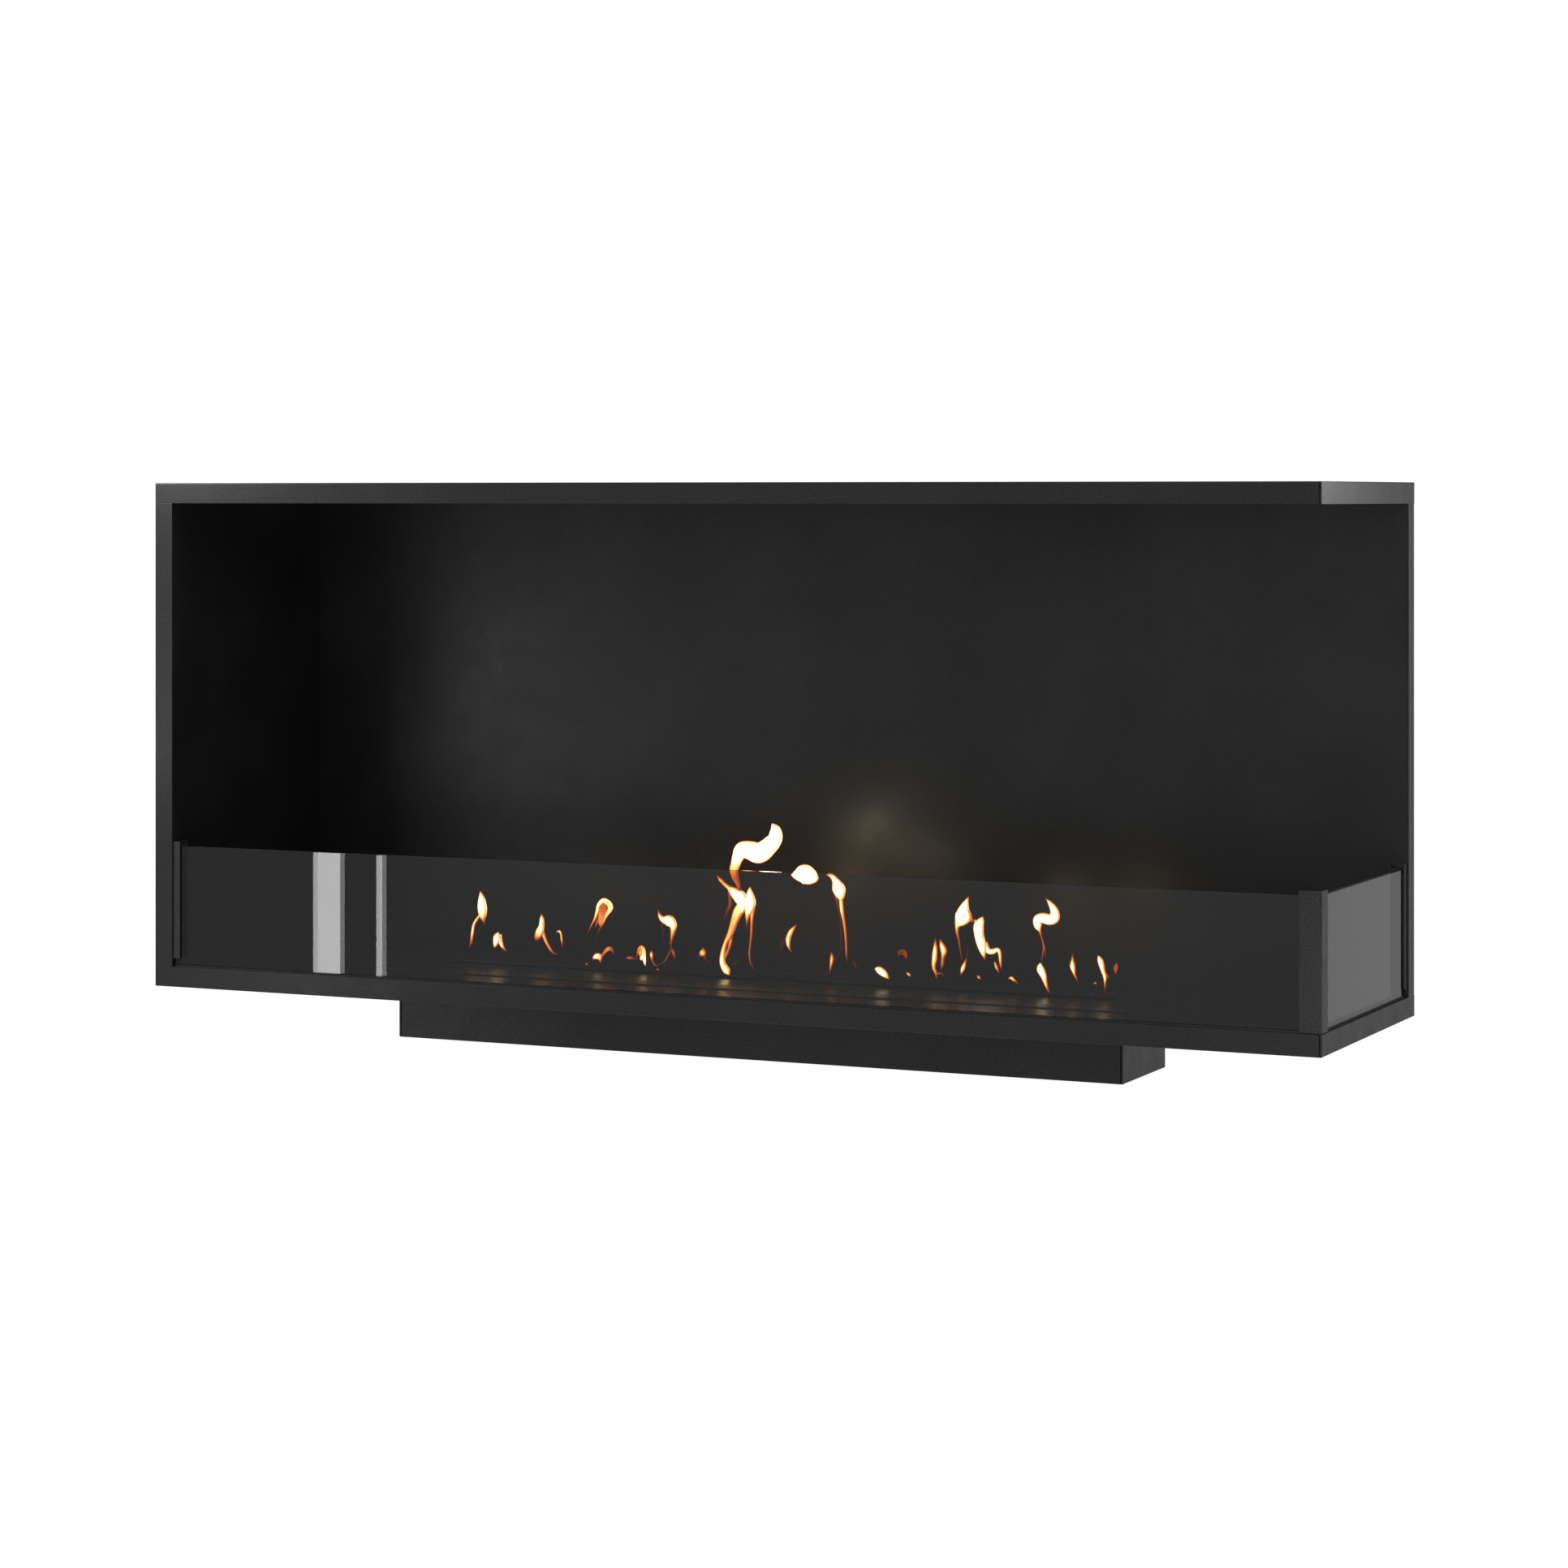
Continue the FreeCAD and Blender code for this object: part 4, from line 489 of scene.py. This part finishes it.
        (-2, SOLID, [(1, 30, 1, 0.7), (-1, 24, 3.5, 0.9), (-3, 19, 4, 0.95), (-5, 13, 0.5, 0.7)]),
        (1, SOLID, [(1, 43, 0.5, 0.3), (1, 35, 1.5, 0.35), (0, 29, 1.5, 0.45)]),
    ]),
    ("mitre", 237, [
        (-6, SOLID, [(-18, 71, 0.5, 0.9), (-20, 67, 6, 1), (-23, 61, 9.5, 1), (-23, 53, 9, 1),
            (-21, 44, 8.5, 1), (-19, 36, 5.5, 0.9), (-17, 29, 0.5, 0.6)]),
        (-3, SOLID, [(-28, 67, 1.5, 0.9), (-26, 64, 5, 1), (-25, 60, 7, 1)]),
        (0, SOLID, [(-20, 45, 5.5, 0.95), (-17, 38, 5.5, 1), (-12, 37, 5.5, 1), (-7, 39, 4, 1),
            (-5, 36, 3.5, 1), (-4, 27, 2.5, 0.95), (-3, 20, 0.5, 0.8)]),
        (3, SOLID, [(-11, 27, 2, 0.9), (-9, 22, 3, 0.9), (-6, 16, 0.5, 0.7)]),
    ]),
    ("seed_b", 219, [
        (-14, SOLID, [(-4, 16, 0.5, 0.8), (-2, 14, 3, 0.95), (0, 12, 0.5, 0.7)]),
    ]),
    ("slipper", 257, [
        (-12, SOLID, [(-11, 14, 1, 0.8), (-8, 15, 3, 1), (-5, 13, 2.5, 0.95), (0, 9, 0.5, 0.5)]),
    ]),
    ("hook", 289, [
        (-10, SOLID, [(-6, 91, 0.5, 0.9), (-2, 87, 4, 1), (2, 80, 7.5, 1), (2, 73, 9.5, 1),
            (-3, 71, 10, 1), (-10, 72, 9.5, 1), (-15, 70, 8.5, 1), (-15, 64, 7, 1), (-13, 59, 2.5, 0.9),
            (-11, 52, 1.5, 0.8), (-9, 45, 2, 0.8), (-10, 37, 1.5, 0.75), (-11, 29, 0.5, 0.7)]),
        (-7, SOLID, [(-12, 53, 1, 0.7), (-9, 43, 1.5, 0.7), (-8, 32, 0.5, 0.5)]),
        (-4, SOLID, [(-14, 29, 2.5, 1), (-14, 24, 7, 1), (-11, 18, 6, 1), (-9, 12, 4, 0.95),
            (-7, 6, 2.5, 0.85), (-4, 1, 0.5, 0.5)]),
    ]),
    ("reed", 314, [
        (-8, SOLID, [(-6, 41, 0.5, 0.6), (-6, 34, 3, 0.9), (-6, 28, 5, 1), (-4, 21, 2.5, 0.95),
            (-2, 17, 1.5, 0.85), (0, 13, 0.5, 0.6)]),
    ]),
    ("tongue", 341, [
        (-10, SOLID, [(-6, 40, 2, 0.9), (-4, 35, 5.5, 1), (-2, 27, 4.5, 1), (0, 20, 3.5, 1),
            (0, 14, 2, 0.9), (0, 4, 0.5, 0.5)]),
        (-7, SOLID, [(0, 23, 2, 0.7), (2, 20, 2, 0.6), (3, 17, 0.5, 0.4)]),
    ]),
    ("seed_c", 331, [
        (-14, SOLID, [(0, 13, 0.5, 0.6), (2, 15, 2, 0.9), (4, 13, 0.5, 0.6)]),
    ]),
    ("flicker", 351, [
        (-6, HOLLOW, [(0, 34, 0.5, 0.5), (-1, 29, 4, 0.6), (-1, 24, 2, 0.5), (0, 21, 0.5, 0.3)]),
    ]),
    ("low_ember", -151, [
        (-12, SOLID, [(-5, 13, 0.5, 0.3), (0, 14, 3.5, 0.65), (10, 13, 0.5, 0.3)]),
    ]),
    ("dot_a", -197, [
        (-14, SOLID, [(-2, 5.5, 0.5, 0.6), (0, 6, 2, 0.85), (2, 5.5, 0.5, 0.6)]),
    ]),
    ("dot_b", -119, [
        (-14, SOLID, [(-1, 4, 0.5, 0.7), (0, 4.5, 2, 0.95), (1, 4, 0.5, 0.7)]),
    ]),
]

BLUE_ACROSS = -14     # the blue flames' place across the slot, in millimetres
# Low blue flames: a name, the place along the slot, the height over the lid and the reach to each side.
BLUE_FLAMES = [
    ("blue_left", -302, 3, 10),
    ("blue_middle", -226, 5, 5),
    ("blue_right", 303, 2, 8),
    ("blue_far_right", 330, 4, 6),
    ("blue_end", 350, 5, 5),
]

RINGS_PER_SPAN = 6
RING_POINTS = 24
THICKNESS = 0.55      # of a flame's section, in its width
SPREAD = 1.12         # a flame's whole width, rim and all, in the drawn width
LEAN = 2.5            # how far a flame wanders across the slot for every LEAN_HEIGHT of its height
LEAN_HEIGHT = 60      # in millimetres
LEAN_WAVE = 17        # height over which it turns by a radian, in millimetres
LEAN_STEP = 1.7       # radians from one flame's wander to the next one's
LOWEST = 0.4          # the least height over the lid, and the least width, in millimetres
RIM = 2.0             # the cooler rim of a solid flame, in millimetres
RIM_HEAT = 0.45       # at the very edge of that rim, in the flame's heat
SHEET = 1.0           # the hot rim of a hollow flame, in millimetres
SHEET_HEAT = 0.5      # at the very edge of that rim
HOLLOW_HEAT = 0.68    # deep inside a hollow flame
HOLLOW_REACH = 2.2    # how far in the rim's heat reaches, in rims
FADE = 0.8            # over which a flame's edge fades away, in millimetres
FULL_COVER = 0.35     # the heat at which burning gas hides what is behind it


def between(before, start, end, after, share):
    """A smooth curve's value at a share of the way from start to end."""
    return 0.5 * (
        2 * start
        + (end - before) * share
        + (2 * before - 5 * start + 4 * end - after) * share ** 2
        + (3 * start - before - 3 * end + after) * share ** 3
    )


def smooth(points):
    """Points along a smooth curve through the given ones, each with all their values."""
    line = []
    for index in range(len(points) - 1):
        before = points[max(index - 1, 0)]
        start, end = points[index], points[index + 1]
        after = points[min(index + 2, len(points) - 1)]
        for step in range(RINGS_PER_SPAN):
            share = step / RINGS_PER_SPAN
            line.append([between(*values, share) for values in zip(before, start, end, after)])
    line.append(list(points[-1]))
    return line


def heat_across(make, depth):
    """The share of a stroke's heat so many millimetres inside its edge."""
    if make == SOLID:
        return RIM_HEAT + (1 - RIM_HEAT) * min(depth / RIM, 1.0)
    edge = SHEET_HEAT + (1 - SHEET_HEAT) * min(depth / SHEET, 1.0)
    inside = HOLLOW_HEAT + (1 - HOLLOW_HEAT) * math.exp(-(depth / SHEET / HOLLOW_REACH) ** 2)
    return edge * inside


def add_stroke(mesh, foot, stroke, wander):
    """A closed body along one stroke, with the heat and the cover of each of its points."""
    heats, covers = (mesh.verts.layers.float[name] for name in ("flame_heat", "flame_cover"))
    across, make, points = stroke
    line = smooth(points)
    rings = []
    for index, (along, height, width, heat) in enumerate(line):
        ahead, behind = line[min(index + 1, len(line) - 1)], line[max(index - 1, 0)]
        tangent = Vector((ahead[0] - behind[0], 0, ahead[1] - behind[1])).normalized()
        normal = Vector((-tangent.z, 0, tangent.x))
        drift = LEAN * (height / LEAN_HEIGHT) * math.sin(height / LEAN_WAVE + wander)
        centre = Vector((foot + along, across + drift, height))
        half = max(width * SPREAD, LOWEST) / 2
        ring = []
        for step in range(RING_POINTS):
            turn = 2 * math.pi * step / RING_POINTS
            bulge = Vector((0, THICKNESS * half * math.sin(turn), 0))
            spot = centre + normal * half * math.cos(turn) + bulge
            vertex = mesh.verts.new((
                SLOT_MIDDLE + spot.x * MM, spot.y * MM, LID_TOP + max(spot.z, LOWEST) * MM,
            ))
            depth = half * (1 - abs(math.cos(turn)))
            vertex[heats] = max(heat, 0.0) * heat_across(make, depth)
            vertex[covers] = min(max(heat, 0.0) / FULL_COVER, 1.0) * min(depth / FADE, 1.0)
            ring.append(vertex)
        rings.append(ring)
    for lower, upper in zip(rings, rings[1:]):
        for step in range(RING_POINTS):
            following = (step + 1) % RING_POINTS
            mesh.faces.new((lower[step], lower[following], upper[following], upper[step]))
    mesh.faces.new(reversed(rings[0]))
    mesh.faces.new(rings[-1])


def flame(name, foot, strokes, wander, material):
    """One flame, which rides on the burner."""
    mesh = bmesh.new()
    mesh.verts.layers.float.new("flame_heat")
    mesh.verts.layers.float.new("flame_cover")
    for stroke in strokes:
        add_stroke(mesh, foot, stroke, wander)
    bmesh.ops.recalc_face_normals(mesh, faces=mesh.faces)
    data = bpy.data.meshes.new(f"flame_{name}")
    mesh.to_mesh(data)
    mesh.free()
    for face in data.polygons:
        face.use_smooth = True
    data.materials.append(material)
    piece = bpy.data.objects.new(f"flame_{name}", data)
    bpy.context.scene.collection.objects.link(piece)
    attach(piece, "burner")
    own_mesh(piece)


def light_burner():
    """All the flames."""
    yellow = burning("burning_gas", FLAME_COLOURS)
    for index, (name, foot, strokes) in enumerate(FLAMES):
        flame(name, foot, strokes, LEAN_STEP * index, yellow)
    blue = burning("blue_gas", BLUE_COLOURS)
    for name, foot, height, reach in BLUE_FLAMES:
        low = [(-reach, height, 0.5, 0.3), (0, height + 0.5, 2.5, 1), (reach, height, 0.5, 0.3)]
        flame(name, foot, [(BLUE_ACROSS, SOLID, low)], 0.0, blue)


# Stage: floor, world, lights and camera

FLOOR_RADIUS = 30
FLOOR_DROP = 0.5 * MM     # of the floor under the object, so that their faces don't fight


def pale_floor():
    """A plain white floor that glows itself, so that the object's shadow on it hardly shows."""
    material, tree, shader = new_material("pale_floor")
    clouds = noise(tree, place(tree), scale=1.5, detail=3)
    tone = ramp(tree, clouds, [(0.3, (0.1, 0.1, 0.1)), (0.7, (0.12, 0.12, 0.12))])
    tree.links.new(tone, shader.inputs["Base Color"])
    shader.inputs["Roughness"].default_value = 0.9
    shader.inputs["Specular IOR Level"].default_value = 0.0
    shader.inputs["Emission Color"].default_value = WHITE
    shader.inputs["Emission Strength"].default_value = 1.0
    mesh = bmesh.new()
    bmesh.ops.create_circle(mesh, cap_ends=True, segments=96, radius=FLOOR_RADIUS)
    data = bpy.data.meshes.new("floor")
    mesh.to_mesh(data)
    mesh.free()
    data.materials.append(material)
    floor = bpy.data.objects.new("floor", data)
    floor.location.z = -FLOOR_DROP
    floor.visible_glossy = False
    bpy.context.scene.collection.objects.link(floor)


SEEN_WHITE = 1.05         # the studio as the camera sees it
# How bright the studio is to the left and to the right of the object, in front of it and behind it.
FRONT_LOW = (0.41, 0.15)
FRONT_HIGH = (0.56, 0.95)
REAR_LOW = (0.4, 0.49)
REAR_HIGH = (0.4, 0.1)


def studio_world():
    """White in plain sight; what lights the object is dimmer, with the brightness of each side."""
    world = bpy.data.worlds.new("studio")
    world.use_nodes = True
    tree = world.node_tree
    tree.nodes.clear()
    direction = add(tree, "ShaderNodeTexCoord").outputs["Generated"]
    parts = add(tree, "ShaderNodeSeparateXYZ", {"Vector": direction}).outputs
    front_low, front_high, rear_low, rear_high = (
        spread(tree, parts["X"], left, right, start=-0.1, end=0.1)
        for left, right in (FRONT_LOW, FRONT_HIGH, REAR_LOW, REAR_HIGH)
    )
    front = mix_values(tree, front_low, front_high, spread(tree, parts["Z"], 0.0, 1.0, start=0.25, end=0.35))
    rear = mix_values(tree, rear_low, rear_high, spread(tree, parts["Z"], 0.0, 1.0, start=0.1, end=0.2))
    level = mix_values(tree, front, rear, spread(tree, parts["Y"], 0.0, 1.0, start=-0.05, end=0.05))
    lit = add(tree, "ShaderNodeBackground", {"Color": level})
    seen = add(tree, "ShaderNodeBackground", {"Color": WHITE, "Strength": SEEN_WHITE})
    rays = add(tree, "ShaderNodeLightPath")
    chosen = add(tree, "ShaderNodeMixShader", {0: rays.outputs["Is Camera Ray"]})
    tree.links.new(lit.outputs["Background"], chosen.inputs[1])
    tree.links.new(seen.outputs["Background"], chosen.inputs[2])
    output = add(tree, "ShaderNodeOutputWorld")
    tree.links.new(chosen.outputs["Shader"], output.inputs["Surface"])
    bpy.context.scene.world = world


def lamp(name, spot, aim, size, radiance):
    """A soft rectangular lamp, as bright to look at whatever its size, that the camera doesn't see."""
    width, height = size
    data = bpy.data.lights.new(name, "AREA")
    data.shape = "RECTANGLE"
    data.size = width
    data.size_y = height
    data.energy = radiance * math.pi * width * height
    piece = bpy.data.objects.new(name, data)
    piece.location = spot
    piece.rotation_euler = (Vector(aim) - Vector(spot)).to_track_quat("-Z", "Y").to_euler()
    piece.visible_camera = False
    bpy.context.scene.collection.objects.link(piece)


TOP_LEFT = (CAD_BOX[0].x, CAD_BOX[0].y, CAD_BOX[1].z)
TOP_RIGHT = (CAD_BOX[1].x, CAD_BOX[0].y, CAD_BOX[1].z)
SOFT_BOX = (0.12, 0.12)
SMALL_BOX = (0.1, 0.1)
# Two upright strips, which the front glass mirrors, and soft boxes round the front's corners. Each lamp:
# its name, its place, the point it faces, its size and its radiance.
LAMPS = [
    ("wide_strip", (-0.753, -0.7215, -0.075), (-0.753, 0.0, -0.075), (0.036, 0.45), 7.8),
    ("narrow_strip", (-0.6835, -0.7215, -0.075), (-0.6835, 0.0, -0.075), (0.0075, 0.45), 7.8),
    ("top_left_near", (-0.7, -0.3, 0.65), TOP_LEFT, SOFT_BOX, 13.0),
    ("top_left_far", (-0.75, -0.45, 0.75), TOP_LEFT, SOFT_BOX, 8.0),
    ("left_wide", (-0.75, -0.5, 0.35), (-0.6, -0.15, 0.35), SOFT_BOX, 1.45),
    ("left_close", (-0.7, -0.3, 0.28), (-0.6, -0.15, 0.28), SMALL_BOX, 0.95),
    ("low_left", (-0.5, -0.35, 0.02), (-0.45, -0.15, 0.02), (0.1, 0.03), 0.7),
    ("low_right", (0.66, -0.4, 0.06), (0.59, -0.15, 0.06), SMALL_BOX, 3.3),
    ("right_far", (1.0, 0.3, 0.55), TOP_RIGHT, SOFT_BOX, 15.5),
    ("right_near", (0.75, 0.0, 0.62), TOP_RIGHT, SOFT_BOX, 8.4),
]


def lights():
    """All the lamps."""
    for name, spot, aim, size, radiance in LAMPS:
        lamp(name, spot, aim, size, radiance)


CAMERA_SPOT = (1.572, -3.4004, 0.5342)
CAMERA_TURN = math.radians(24.542)    # to the left of straight back
CAMERA_LENS = 89.05                   # in millimetres, over a frame CAMERA_FRAME wide
CAMERA_FRAME = 36.0
CAMERA_SHIFT = -0.183                 # of the frame downwards, in its width


def photograph_camera():
    """A level camera to the front right, its frame shifted down to the object."""
    data = bpy.data.cameras.new("camera")
    data.sensor_width = CAMERA_FRAME
    data.lens = CAMERA_LENS
    data.shift_y = CAMERA_SHIFT
    camera = bpy.data.objects.new("camera", data)
    camera.location = CAMERA_SPOT
    camera.rotation_euler = (math.radians(90), 0, CAMERA_TURN)
    bpy.context.scene.collection.objects.link(camera)
    bpy.context.scene.camera = camera


finish_frame()
light_burner()
pale_floor()
studio_world()
lights()
photograph_camera()
bpy.context.scene.view_settings.view_transform = "Standard"
